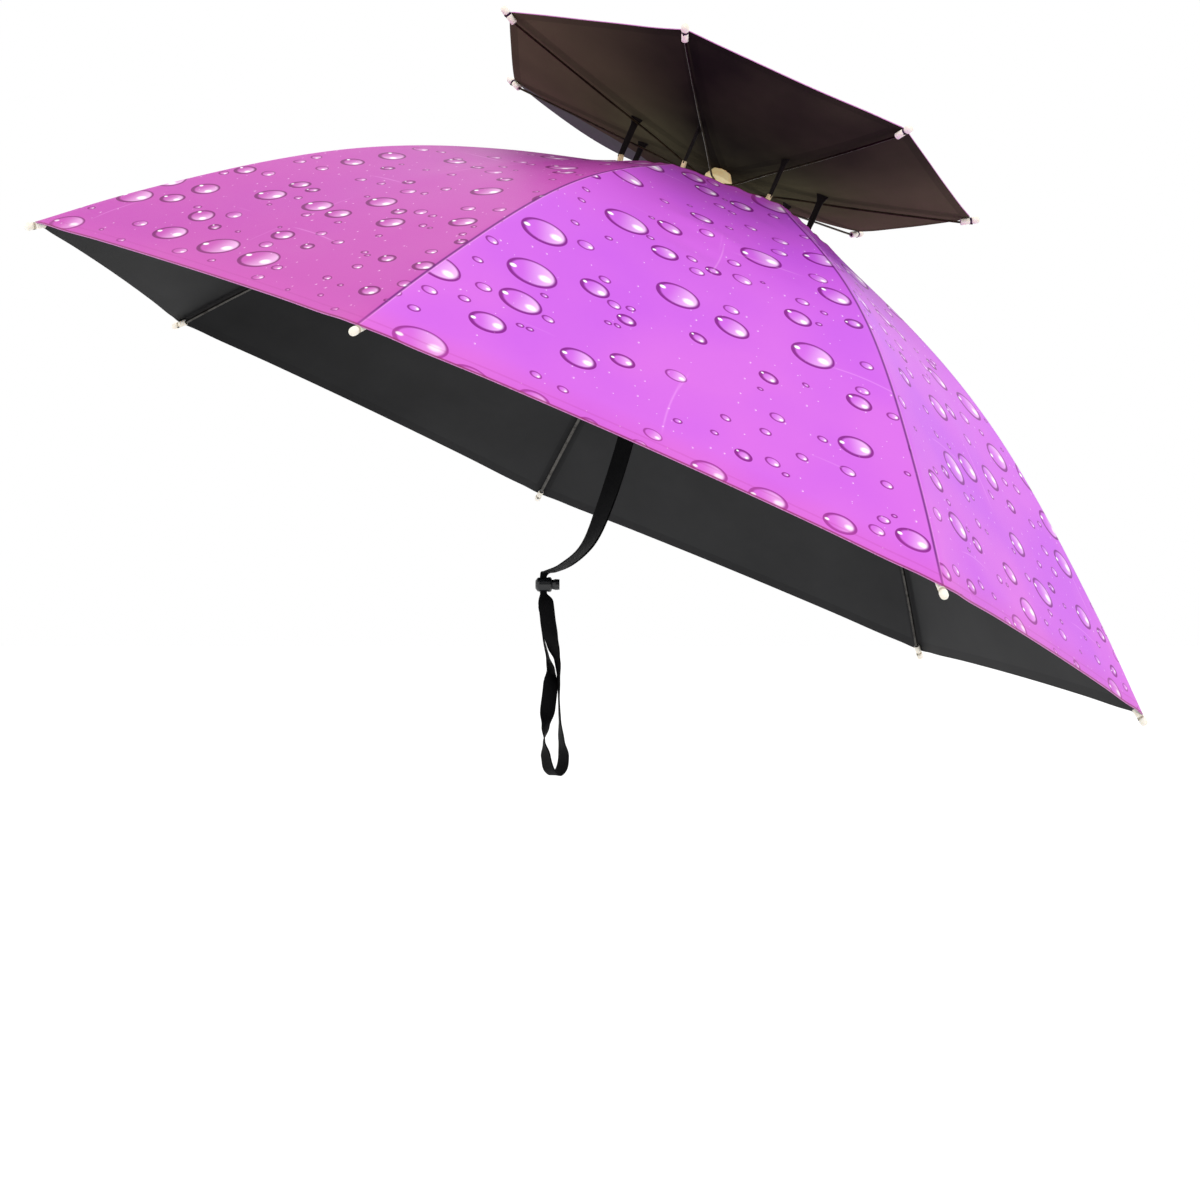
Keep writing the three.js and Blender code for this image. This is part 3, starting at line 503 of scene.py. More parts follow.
dropPrint = [
    {"cell": 9, "scatter": 1.0, "chance": 0.28, "small": 0.6, "large": 1.5, "skew": 1.6, "oval": 1.0,
     "edge": 0.6, "line": 0.1, "outline": "#ffffff", "dot": 0.0, "strength": 0.75},
    {"cell": 22, "scatter": 0.9, "chance": 0.6, "small": 2.2, "large": 7.0, "skew": 1.3, "oval": 1.25,
     "edge": 0.88, "line": 1.3, "outline": "#b070a6", "dot": 0.0, "strength": 0.95},
    {"cell": 42, "scatter": 0.8, "chance": 0.85, "small": 5.0, "large": 16, "skew": 1.1, "oval": 1.18,
     "edge": 0.95, "line": 2.4, "outline": "#aa66a2", "dot": 1.0, "strength": 1.0},
]


def weaveBump(tree, coords, shader, pitch, height, extra=None):
    # plain weave: two sets of waves at right angles, drawn at pitch mm
    waves = []
    for turn in ("X", "Y"):
        wave = addNode(
            tree, "ShaderNodeTexWave", {"Vector": coords, "Scale": 1 / (pitch * mm) / 6.2832 * 3.1416},
            wave_type="BANDS", bands_direction=turn,
        )
        waves.append(wave.outputs["Fac"])
    both = addNode(tree, "ShaderNodeMath", {0: waves[0], 1: waves[1]}, operation="MULTIPLY")
    total = both
    if extra is not None:
        total = addNode(tree, "ShaderNodeMath", {0: both, 1: extra}, operation="ADD")
    bump = addNode(tree, "ShaderNodeBump", {"Height": total, "Strength": 0.5, "Distance": height * mm})
    tree.links.new(bump.outputs[0], shader.inputs["Normal"])
    return both


def printedCloth(name):
    # polyester pongee, woven and heat-printed: satin, with drops, darker near the crown in painted shade, and pinker at
    # the hem
    material, tree, shader = newMaterial(name, Roughness=0.45, Specular_IOR_Level=0.06, Sheen_Weight=0.02)
    shader.inputs["Sheen Tint"].default_value = linear("#ffd6ff")
    coords = addNode(tree, "ShaderNodeUVMap", uv_map="UVMap").outputs[0]
    tone = addNode(tree, "ShaderNodeAttribute", attribute_name="panelTone").outputs["Fac"]
    outward = addNode(tree, "ShaderNodeAttribute", attribute_name="outShare").outputs["Fac"]
    seam = addNode(tree, "ShaderNodeAttribute", attribute_name="seamDistance").outputs["Fac"]
    hem = addNode(tree, "ShaderNodeAttribute", attribute_name="hemDistance").outputs["Fac"]
    # the print's colour from the crown out to the hem, violet to pink; its darkening at the crown is painted shade
    ramp = addNode(tree, "ShaderNodeValToRGB", {0: outward})
    stops = ramp.color_ramp.elements
    stops[0].position, stops[0].color = 0.2, linear("#be52d0")
    stops[1].position, stops[1].color = 1.0, linear("#d46fda")
    for position, colour in ((0.42, "#c95dda"), (0.62, "#cc68de"), (0.85, "#ce6bdc")):
        stop = stops.new(position)
        stop.color = linear(colour)
    cloud = addNode(
        tree, "ShaderNodeTexNoise", {"Vector": coords, "Scale": 8.0, "Detail": 2.0}, noise_dimensions="2D"
    )
    cloudy = addNode(
        tree, "ShaderNodeMapRange", {0: cloud.outputs["Fac"], 1: 0.4, 2: 0.68, 4: 0.45}
    )
    tinted = addNode(tree, "ShaderNodeMix", {0: cloudy, 6: ramp.outputs[0], 7: linear("#b650e0")}, data_type="RGBA")
    # painted light: some panels are drawn pinker, standing in for the different light that falls on each panel
    pinkLightShare = addNode(tree, "ShaderNodeMath", {0: tone, 1: 0.8}, operation="MULTIPLY")
    panelLitColour = addNode(
        tree, "ShaderNodeMix", {0: pinkLightShare, 6: tinted.outputs[2], 7: linear("#b8459c")}, data_type="RGBA"
    )
    # painted shadow: the pinker panels darken toward the crown, where the upper canopy shades them
    crownShadeReach = addNode(tree, "ShaderNodeMapRange", {0: outward, 1: 0.5, 2: 0.24, 4: 0.6})
    crownShadeShare = addNode(tree, "ShaderNodeMath", {0: crownShadeReach, 1: tone}, operation="MULTIPLY")
    crownShaded = addNode(
        tree, "ShaderNodeMix", {0: crownShadeShare, 6: panelLitColour.outputs[2], 7: linear("#862c80")}, data_type="RGBA"
    )
    colour = crownShaded.outputs[2]
    for layer, over in zip(dropPrint, (None, dropPrint[2], None)):
        colour = dropLayer(tree, coords, colour, layer, over)
    # creases from the hat being kept folded, down the middle of each panel and across it: broken pale lines, painted
    # highlights where the creases catch the light
    along = addNode(tree, "ShaderNodeSeparateXYZ", {0: coords})
    wander = addNode(
        tree, "ShaderNodeTexNoise", {"Vector": coords, "Scale": 8.0, "Detail": 1.0}, noise_dimensions="2D"
    )
    shift = addNode(tree, "ShaderNodeMapRange", {0: wander.outputs["Fac"], 3: -22 * mm, 4: 22 * mm})
    crease = None
    for axis, every, seed, curl in ((0, 1.0, 11.0, 0.3), (0, 62 * mm, 13.0, 0.6), (1, 47 * mm, 16.0, 0.6)):
        moved = addNode(
            tree, "ShaderNodeMath", {0: shift, 1: curl, 2: along.outputs[axis]}, operation="MULTIPLY_ADD"
        )
        near = addNode(tree, "ShaderNodeMath", {0: moved, 1: every}, operation="PINGPONG")
        line = addNode(tree, "ShaderNodeMapRange", {0: near, 1: 0.9 * mm, 2: 0.0})
        where = addNode(
            tree, "ShaderNodeTexNoise", {"Vector": coords, "Scale": seed, "Detail": 0.0}, noise_dimensions="2D"
        )
        somewhere = addNode(tree, "ShaderNodeMapRange", {0: where.outputs["Fac"], 1: 0.58, 2: 0.7})
        one = addNode(tree, "ShaderNodeMath", {0: line, 1: somewhere}, operation="MULTIPLY")
        crease = one if crease is None else addNode(tree, "ShaderNodeMath", {0: crease, 1: one}, operation="MAXIMUM")
    creaseHighlightShare = addNode(tree, "ShaderNodeMath", {0: crease, 1: 0.28}, operation="MULTIPLY")
    creaseHighlighted = addNode(tree, "ShaderNodeMix", {0: creaseHighlightShare, 6: colour, 7: linear("#f4b0f4")}, data_type="RGBA")
    colour = creaseHighlighted.outputs[2]
    # the seam: a painted highlight along its folded edge, and a dark line of painted shade and thread beside it
    side = addNode(tree, "ShaderNodeSeparateXYZ", {0: coords}).outputs[0]
    start = addNode(tree, "ShaderNodeMath", {0: side, 1: 0.0}, operation="GREATER_THAN")
    seamHighlight = addNode(tree, "ShaderNodeMapRange", {0: seam, 1: 0.8 * mm, 2: 0.3 * mm, 4: 0.35})
    darkBand = addNode(tree, "ShaderNodeMapRange", {0: seam, 1: 2.6 * mm, 2: 1.7 * mm, 4: 0.85})
    darkLine = addNode(tree, "ShaderNodeMath", {0: darkBand, 1: start}, operation="MULTIPLY")
    seamShadeAndThread = addNode(tree, "ShaderNodeMix", {0: darkLine, 6: colour, 7: linear("#620a72")}, data_type="RGBA")
    seamHighlighted = addNode(tree, "ShaderNodeMix", {0: seamHighlight, 6: seamShadeAndThread.outputs[2], 7: linear("#f7a6ef")}, data_type="RGBA")
    # the hem: pink where the print ends, with a dark line at its fold
    pinkHem = addNode(tree, "ShaderNodeMapRange", {0: hem, 1: 17 * mm, 2: 2 * mm, 4: 0.35})
    hemmed = addNode(tree, "ShaderNodeMix", {0: pinkHem, 6: seamHighlighted.outputs[2], 7: linear("#cc58b4")}, data_type="RGBA")
    row = addNode(tree, "ShaderNodeMath", {0: hem, 1: 5.5 * mm, 2: 0.5 * mm}, operation="COMPARE")
    rowShare = addNode(tree, "ShaderNodeMath", {0: row, 1: 0.2}, operation="MULTIPLY")
    sewn = addNode(tree, "ShaderNodeMix", {0: rowShare, 6: hemmed.outputs[2], 7: linear("#a8388c")}, data_type="RGBA")
    foldLine = addNode(tree, "ShaderNodeMapRange", {0: hem, 1: 1.3 * mm, 2: 0.6 * mm, 4: 0.9})
    final = addNode(tree, "ShaderNodeMix", {0: foldLine, 6: sewn.outputs[2], 7: linear("#8a2f63")}, data_type="RGBA")
    tree.links.new(final.outputs[2], shader.inputs["Base Color"])
    # the real threads are 0.2 mm apart; they are drawn at 1 mm so that they show
    weaveBump(tree, coords, shader, 1.0, 0.05, crease)
    return material


def coatedCloth(name, base, light, roughness, shine, tableLightShare, cloudShare, tapeShare):
    # polyester with a dark polyurethane coat on the side under the hat: flat dark, with a faint satin
    material, tree, shader = newMaterial(name, Roughness=roughness, Specular_IOR_Level=shine)
    coords = addNode(tree, "ShaderNodeUVMap", uv_map="UVMap").outputs[0]
    cloud = addNode(
        tree, "ShaderNodeTexNoise", {"Vector": coords, "Scale": 14.0, "Detail": 3.0}, noise_dimensions="2D"
    )
    share = addNode(tree, "ShaderNodeMapRange", {0: cloud.outputs["Fac"], 1: 0.3, 2: 0.8, 4: cloudShare})
    seam = addNode(tree, "ShaderNodeAttribute", attribute_name="seamDistance").outputs["Fac"]
    hem = addNode(tree, "ShaderNodeAttribute", attribute_name="hemDistance").outputs["Fac"]
    tone = addNode(tree, "ShaderNodeAttribute", attribute_name="underPaintedLight").outputs["Fac"]
    # painted sheen and light: how far each place is drawn toward the lighter colour, from noise patches that are partly
    # the coat's own mottle, and from the per-rib table
    paintedLightAmount = addNode(tree, "ShaderNodeMath", {0: tone, 1: tableLightShare, 2: share}, operation="MULTIPLY_ADD")
    mixed = addNode(tree, "ShaderNodeMix", {0: paintedLightAmount, 6: linear(base), 7: linear(light)}, data_type="RGBA")
    nearest = addNode(tree, "ShaderNodeMath", {0: seam, 1: hem}, operation="MINIMUM")
    tape = addNode(tree, "ShaderNodeMapRange", {0: nearest, 1: 6.4 * mm, 2: 6.0 * mm, 4: tapeShare})
    taped = addNode(tree, "ShaderNodeMix", {0: tape, 6: mixed.outputs[2], 7: linear("#0f0e10")}, data_type="RGBA")
    # painted light: the far panel's drooped hem is drawn a bluer grey in a wide band, where the light catches it
    hemSheen = addNode(tree, "ShaderNodeAttribute", attribute_name="farHemSheen").outputs["Fac"]
    hemSheenShare = addNode(tree, "ShaderNodeMapRange", {0: hemSheen, 1: 0.0, 2: 0.9 * mm, 4: 0.9})
    final = addNode(tree, "ShaderNodeMix", {0: hemSheenShare, 6: taped.outputs[2], 7: linear("#606b62")}, data_type="RGBA")
    tree.links.new(final.outputs[2], shader.inputs["Base Color"])
    weaveBump(tree, coords, shader, 1.0, 0.04)
    return material


def hemThread(name):
    # the hem's folded edge, with the white of its thread and the cloth's core showing through
    material, tree, shader = newMaterial(name, Roughness=0.6, Specular_IOR_Level=0.3)
    coords = addNode(tree, "ShaderNodeTexCoord").outputs["Object"]
    spots = addNode(tree, "ShaderNodeTexNoise", {"Vector": coords, "Scale": 900.0})
    mixed = addNode(
        tree, "ShaderNodeMix", {0: spots.outputs["Fac"], 6: linear("#8f3f86"), 7: linear("#e59ad8")}, data_type="RGBA"
    )
    tree.links.new(mixed.outputs[2], shader.inputs["Base Color"])
    return material


clothOuter = printedCloth("printedPongee")
lowerUnder = coatedCloth("darkCoatedPongee", "#101011", "#313132", 0.65, 0.1, 0.82, 0.25, 0.25)
upperUnder = coatedCloth("brownBlackCoatedPongee", "#191416", "#6e6850", 0.6, 0.0, 0.62, 0.12, 0.2)
hemEdge = hemThread("sewnHemEdge")
print("cloth materials made")


def canopy(name, replaced, sizes, surface, outFor, under):
    # one sheet round the whole hat, creased over each rib, folded and hemmed, with a thin wall
    columns = ribCount * sizes["perPanel"]

    def wayOf(u):
        # columns crowd toward the ribs, where the seams are
        panel, across = splitRound(u * ribCount) if u < 1 else (ribCount - 1, 1.0)
        crowded = across - sizes["crowd"] * math.sin(2 * math.pi * across) / (2 * math.pi)
        return panel + crowded

    def place(u, v):
        way = wayOf(u)
        share = outFor(v)
        at = surface(way % ribCount if way < ribCount else 0.0, share)
        return toRow(at)

    piece, shares = shapedGrid(name, columns, sizes["rows"], place)
    mesh = piece.data
    mesh.attributes.new("panelTone", "FLOAT", "FACE")
    pointNames = ("underPaintedLight", "outShare", "seamDistance", "hemDistance", "farHemSheen")
    for pointName in pointNames:
        mesh.attributes.new(pointName, "FLOAT", "POINT")
    underPaintedLight, outShare, seam, hem, hemSheen = [mesh.attributes[pointName] for pointName in pointNames]
    tone = mesh.attributes["panelTone"]
    uv = mesh.uv_layers[0]
    for vertex, (u, v) in zip(mesh.vertices, shares):
        way = wayOf(u)
        share = outFor(v)
        across = way - math.floor(way)
        half = (0.5 - abs(across - 0.5)) * sizes["radius"] * share * 2 * math.sin(panelAngle / 2)
        outShare.data[vertex.index].value = share
        seam.data[vertex.index].value = half
        near = (1 - share) * sizes["radius"]
        if sizes["innerHem"]:
            near = min(near, (share - outFor(0)) * sizes["radius"])
        hem.data[vertex.index].value = near
        panel = int(way) % ribCount
        ease = across * across * (3 - 2 * across)
        here, beyond = panels[panel][sizes["tone"]], panels[(panel + 1) % ribCount][sizes["tone"]]
        # painted shade: the coat's painted light fades toward the hub
        nearHub = sizes["paintedLightAtHub"] + (1 - sizes["paintedLightAtHub"]) * min(share / 0.7, 1)
        underPaintedLight.data[vertex.index].value = (here + (beyond - here) * ease) * nearHub
        # painted light: a wide band along the far panel's drooped hem, widest mid-panel
        hemSheenReach = sizes["hemSheen"] * mm * 4 * across * (1 - across) if panel == 5 else 0.0
        hemSheen.data[vertex.index].value = hemSheenReach - near
    for face in mesh.polygons:
        us = [shares[v][0] for v in face.vertices]
        panel = min(int(sum(us) / len(us) * ribCount), ribCount - 1)
        tone.data[face.index].value = panels[panel]["tone"]
        for index in face.loop_indices:
            u, v = shares[mesh.loops[index].vertex_index]
            across = wayOf(u) - panel
            x, y = panelFlat(across, outFor(v) * sizes["radius"] / hat["brimRadius"])
            uv.data[index].uv = (x, y + panel * 0.731 + sizes["printShift"])
    closeSeams(piece)
    flipIfDown(piece)
    applied(piece, "SUBSURF", levels=1, render_levels=1)
    give(piece, clothOuter, under, hemEdge)
    applied(
        piece, "SOLIDIFY", thickness=sizes["wall"] * mm, offset=-1, material_offset=1, material_offset_rim=2
    )
    smooth(piece, 35)
    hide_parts(replaced)
    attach(piece, "root")
    return piece


lowerSizes = {
    "perPanel": 20, "rows": 54, "crowd": 0.55, "radius": hat["brimRadius"], "wall": 0.6,
    "innerHem": True, "printShift": 0.0, "tone": "grey", "paintedLightAtHub": 1.0, "hemSheen": 0,
}
upperSizes = {
    "perPanel": 16, "rows": 34, "crowd": 0.4, "radius": hat["topRadius"], "wall": 0.6,
    "innerHem": False, "printShift": 5.3, "tone": "brown", "paintedLightAtHub": 0.1, "hemSheen": 42,
}
lowerCanopy = canopy(
    "lowerCanopy", "lower_canopy", lowerSizes, lowerSurface,
    lambda v: ventShare * 0.97 + (1 - ventShare * 0.97) * v, lowerUnder,
)
topHoleShare = hat["topHole"] / hat["topRadius"]
upperCanopy = canopy(
    "upperCanopy", "upper_canopy", upperSizes, upperSurface,
    lambda v: topHoleShare + (1 - topHoleShare) * v**1.15, upperUnder,
)
print("canopies made")


# webbing, thread and band

def webbing(name, base, light, pitch):
    # polyester webbing, woven: black, with fine lengthwise ribs that catch a faint sheen
    material, tree, shader = newMaterial(name, Roughness=0.65, Specular_IOR_Level=0.1)
    coords = addNode(tree, "ShaderNodeUVMap", uv_map="UVMap").outputs[0]
    # the real ribs are 0.5 mm apart; they are drawn at pitch mm so that they show
    rib = addNode(
        tree, "ShaderNodeTexWave", {"Vector": coords, "Scale": 1 / (pitch * mm) / 2},
        wave_type="BANDS", bands_direction="X",
    )
    pick = addNode(
        tree, "ShaderNodeTexWave", {"Vector": coords, "Scale": 1 / (pitch * 0.7 * mm) / 2},
        wave_type="BANDS", bands_direction="Y",
    )
    both = addNode(tree, "ShaderNodeMath", {0: rib.outputs["Fac"], 1: pick.outputs["Fac"]}, operation="MULTIPLY")
    share = addNode(tree, "ShaderNodeMapRange", {0: rib.outputs["Fac"], 4: 0.5})
    mixed = addNode(tree, "ShaderNodeMix", {0: share, 6: linear(base), 7: linear(light)}, data_type="RGBA")
    tree.links.new(mixed.outputs[2], shader.inputs["Base Color"])
    total = addNode(tree, "ShaderNodeMath", {0: rib.outputs["Fac"], 1: both}, operation="ADD")
    bump = addNode(tree, "ShaderNodeBump", {"Height": total, "Strength": 0.7, "Distance": 0.2 * mm})
    tree.links.new(bump.outputs[0], shader.inputs["Normal"])
    return material


strapCloth = webbing("blackWovenWebbing", "#020203", "#0a0a0d", 1.3)
bandCloth = webbing("blackKnitElastic", "#101012", "#26262b", 1.6)
tieCloth = webbing("brownBlackWovenTape", "#120c0d", "#1c1416", 1.3)


def mouldedPlastic(name, base, shade, roughness, subsurface=0.0):
    # nylon, injection moulded: cream, satin, with a faint mottle and a fine grain
    material, tree, shader = newMaterial(name, Roughness=roughness, IOR=1.53, Subsurface_Weight=subsurface)
    shader.inputs["Subsurface Radius"].default_value = (0.004, 0.003, 0.002)
    coords = addNode(tree, "ShaderNodeTexCoord").outputs["Object"]
    cloud = addNode(tree, "ShaderNodeTexNoise", {"Vector": coords, "Scale": 220.0, "Detail": 3.0})
    share = addNode(tree, "ShaderNodeMapRange", {0: cloud.outputs["Fac"], 1: 0.4, 2: 0.75, 4: 0.6})
    mixed = addNode(tree, "ShaderNodeMix", {0: share, 6: linear(base), 7: linear(shade)}, data_type="RGBA")
    tree.links.new(mixed.outputs[2], shader.inputs["Base Color"])
    grain = addNode(tree, "ShaderNodeTexNoise", {"Vector": coords, "Scale": 1800.0, "Detail": 2.0})
    bump = addNode(tree, "ShaderNodeBump", {"Height": grain.outputs["Fac"], "Strength": 0.25, "Distance": 0.05 * mm})
    tree.links.new(bump.outputs[0], shader.inputs["Normal"])
    return material


tipPlastic = mouldedPlastic("creamMouldedNylon", "#f2ece0", "#e2d8c4", 0.38, 0.15)
hubPlastic = mouldedPlastic("ivoryMouldedAcetal", "#fbeec6", "#f1d391", 0.25, 0.2)
hubGlowShader = hubPlastic.node_tree.nodes["Principled BSDF"]
# painted glow: an emission stands in for the daylight from above shining through it
hubGlowShader.inputs["Emission Color"].default_value = linear("#ffd48a")
hubGlowShader.inputs["Emission Strength"].default_value = 0.22
clipPlastic = mouldedPlastic("beigeMouldedNylon", "#dcbf9a", "#c6a57c", 0.45, 0.1)
sliderPlastic = mouldedPlastic("blackMouldedNylon", "#121316", "#1e2024", 0.32)


def strapStations(raw, sizes):
    for station in raw:
        full = station["full"]
        station["width"] = (sizes["gatheredWidth"] + (sizes["width"] - sizes["gatheredWidth"]) * full) * mm
    return raw


# the headband's outline is an oval that stands across the hat's axis
band = {"length": 194, "width": 156, "height": 30, "thickness": 2.6}


def bandPoint(angle, outward, height):
    x = band["length"] / 2 * math.cos(angle)
    y = band["width"] / 2 * math.sin(angle)
    normal = Vector((x / band["length"] ** 2, y / band["width"] ** 2, 0)).normalized()
    return (Vector((x, y, height)) + normal * outward) * mm


def bandAngleToward(x, y):
    return math.atan2(y / band["width"], x / band["length"])


def makeHeadband():
    # a soft padded band: terry elastic inside, knit elastic outside, rolled edges and slight ruffles
    half = band["height"] / 2

    def place(u, v):
        angle = 2 * math.pi * u
        turn = 2 * math.pi * v
        ruffle = 0.35 * math.sin(angle * 46) + 0.25 * noise.noise(Vector((angle * 5, 0, 2))) * 2
        middle = band["thickness"] / 2
        c, s = math.cos(turn), math.sin(turn)
        outward = middle + (band["thickness"] / 2 + 0.6) * math.copysign(abs(c) ** 0.6, c) + ruffle * abs(c) ** 2 * 0.5
        height = half * math.copysign(abs(s) ** 0.45, s) + ruffle * 0.4 * abs(s)
        return toRow(bandPoint(angle, outward, height))

    piece, shares = shapedGrid("paddedHeadband", 184, 20, place)
    uv = piece.data.uv_layers[0]
    for loop in piece.data.loops:
        u, v = shares[loop.vertex_index]
        uv.data[loop.index].uv = (u * 0.552, v * 0.066)
    closeSeams(piece)
    applied(piece, "SUBSURF", levels=1, render_levels=1)
    smooth(piece, 60)
    give(piece, bandCloth)
    return piece


headband = makeHeadband()
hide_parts("headband")
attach(headband, "root")
print("headband made")

hanger = {"radius": 127, "width": 10, "thickness": 1.2, "lap": 18, "loop": 2.0, "bulge": 3}


def makeHanger(rib):
    # from the band's outside up to the rib, once round the wire, and a short sewn end back on itself
    way = Vector((math.cos(ribAngle(rib)), math.sin(ribAngle(rib)), 0))
    share = hanger["radius"] * mm / hat["brimRadius"]
    along, side, normal = ribFrame(lowerRibPoint, rib, share)
    seat = lowerRibPoint(rib, share) - normal * hat["ribDrop"]
    angle = bandAngleToward(way.x, way.y)
    outside = band["thickness"] + 0.9
    low = bandPoint(angle, outside, band["height"] / 2 - hanger["lap"])
    mid = bandPoint(angle, outside + 0.2, band["height"] / 2 - hanger["lap"] / 2)
    top = bandPoint(angle, outside, band["height"] / 2)
    wide = up.cross(bandPoint(angle, 1, 0) - bandPoint(angle, 0, 0)).normalized()
    foot = seat - normal * (hanger["loop"] + 0.9) * mm
    keys = [(low, wide), (mid, wide), (top, wide)]
    keys.append((top.lerp(foot, 0.12) + Vector((0, 0, hanger["bulge"] * mm)), wide))
    keys.append((top.lerp(foot, 0.5) - Vector((way.x, way.y, 0)) * 1.5 * mm, wide.lerp(side, 0.5)))
    keys.append((top.lerp(foot, 0.86), side))
    # the strap's width runs along the wire, and it goes round it
    loopWide = along
    for turn in (-150, -90, -20, 50, 120, 190):
        a = math.radians(turn)
        keys.append((seat + (side * math.cos(a) + normal * math.sin(a)) * (hanger["loop"] + 0.3) * mm, loopWide))
    keys.append((top.lerp(foot, 0.88) + side * 1.4 * mm, side))
    keys.append((top.lerp(foot, 0.72) + way * 1.4 * mm, side))
    route = smoothRoute([{"at": toRow(at), "wide": toRow(w), "full": 1.0} for at, w in keys], 5)
    for station in route:
        station["width"] = hanger["width"] * mm
    piece = ribbonPiece(f"bandHanger{rib + 1}", route, 3)
    applied(piece, "SOLIDIFY", thickness=0.9 * mm, offset=0)
    smooth(piece, 50)
    give(piece, strapCloth)
    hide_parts(f"band_hanger_{rib + 1}")
    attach(piece, "root")


for rib in range(ribCount):
    makeHanger(rib)
print("hangers made")

tie = {"radius": 65, "width": 4, "thickness": 1, "flare": 8, "clipHeight": 12.6}


clip = {"radius": 65, "foot": 9, "thickness": 4.4, "skirt": 2.2, "height": 12, "topShares": (0.39, 0.5), "round": 0.45}


def makeClipModel():
    # a moulded wedge that straddles the wire: a square foot, drawn in to a narrow rounded top
    clearSelection()
    bpy.ops.mesh.primitive_cube_add(size=1, location=(0, 0, 0))
    piece = bpy.context.object
    piece.name = piece.data.name = "ribClipModel"
    bpy.ops.object.mode_set(mode="EDIT")
    bpy.ops.transform.resize(value=(clip["foot"] * mm, clip["thickness"] * mm, 2 * clip["skirt"] * mm))
    bpy.ops.object.mode_set(mode="OBJECT")
    for face in piece.data.polygons:
        face.select = face.normal.z > 0.9
    bpy.ops.object.mode_set(mode="EDIT")
    bpy.ops.mesh.select_mode(type="FACE")
    bpy.ops.mesh.extrude_region_move(TRANSFORM_OT_translate={"value": (0, 0, (clip["height"] - clip["skirt"]) * mm)})
    bpy.ops.transform.resize(value=(*clip["topShares"], 1), center_override=(0, 0, clip["height"] * mm))
    bpy.ops.object.mode_set(mode="OBJECT")
    applied(piece, "BEVEL", width=clip["round"] * mm, segments=3)
    smooth(piece, 50)
    give(piece, clipPlastic)
    return piece


def placeClips():
    model = makeClipModel()
    share = clip["radius"] * mm / hat["brimRadius"]
    for rib in range(ribCount):
        copy = copyOf(model, f"ribClip{rib + 1}")
        along, side, normal = ribFrame(lowerRibPoint, rib, share)
        seat = lowerRibPoint(rib, share) - normal * hat["ribDrop"]
        axes = Matrix([toRow(along), toRow(side), toRow(normal)]).transposed().to_4x4()
        settle(copy, Matrix.Translation(toRow(seat)) @ axes)
        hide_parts(f"rib_clip_{rib + 1}")
        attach(copy, "root")
    bpy.data.objects.remove(model)


placeClips()
print("clips made")


def upperAbove(place):
    angle = math.atan2(place.y, place.x) - math.atan2(topCorners[0].y, topCorners[0].x)
    way = (angle / panelAngle) % ribCount
    flat = math.hypot(place.x, place.y)
    share = flat / hat["topRadius"]
    for step in range(12):
        found = upperSurface(way, share, False)
        share *= flat / math.hypot(found.x, found.y)
        turn = math.atan2(place.y, place.x) - math.atan2(found.y, found.x)
        way = (way + math.atan2(math.sin(turn), math.cos(turn)) / panelAngle) % ribCount
    return upperSurface(way, share)


def makeTie(rib):
    # a black woven strip, sewn to the upper cloth by its flared end
    share = tie["radius"] * mm / hat["brimRadius"]
    along, side, normal = ribFrame(lowerRibPoint, rib, share)
    foot = lowerRibPoint(rib, share) - normal * hat["ribDrop"] + normal * tie["clipHeight"] * mm
    head = upperAbove(foot) - up * 0.9 * mm
    way = Vector((math.cos(ribAngle(rib)), math.sin(ribAngle(rib)), 0))
    length = (head - foot).length
    rows = [(-2.5 * mm, 3.4), (0, 3.5), (0.25 * length, 4), (0.6 * length, 4), (length - 5 * mm, 4.3),
            (length - 2.5 * mm, 6.2), (length - 0.8 * mm, 7.8), (length, 8.2)]
    keys = [{"at": toRow(foot.lerp(head, d / length)), "wide": toRow(way), "full": w} for d, w in rows]
    route = smoothRoute(keys, 4)
    for station in route:
        station["width"] = station["full"] * mm
    piece = ribbonPiece(f"ventTie{rib + 1}", route, 4, bulge=0.25 * mm)
    applied(piece, "SOLIDIFY", thickness=0.8 * mm, offset=0)
    smooth(piece, 50)
    give(piece, tieCloth)
    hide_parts(f"vent_tie_{rib + 1}")
    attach(piece, "root")


for rib in range(ribCount):
    makeTie(rib)
print("ties made")

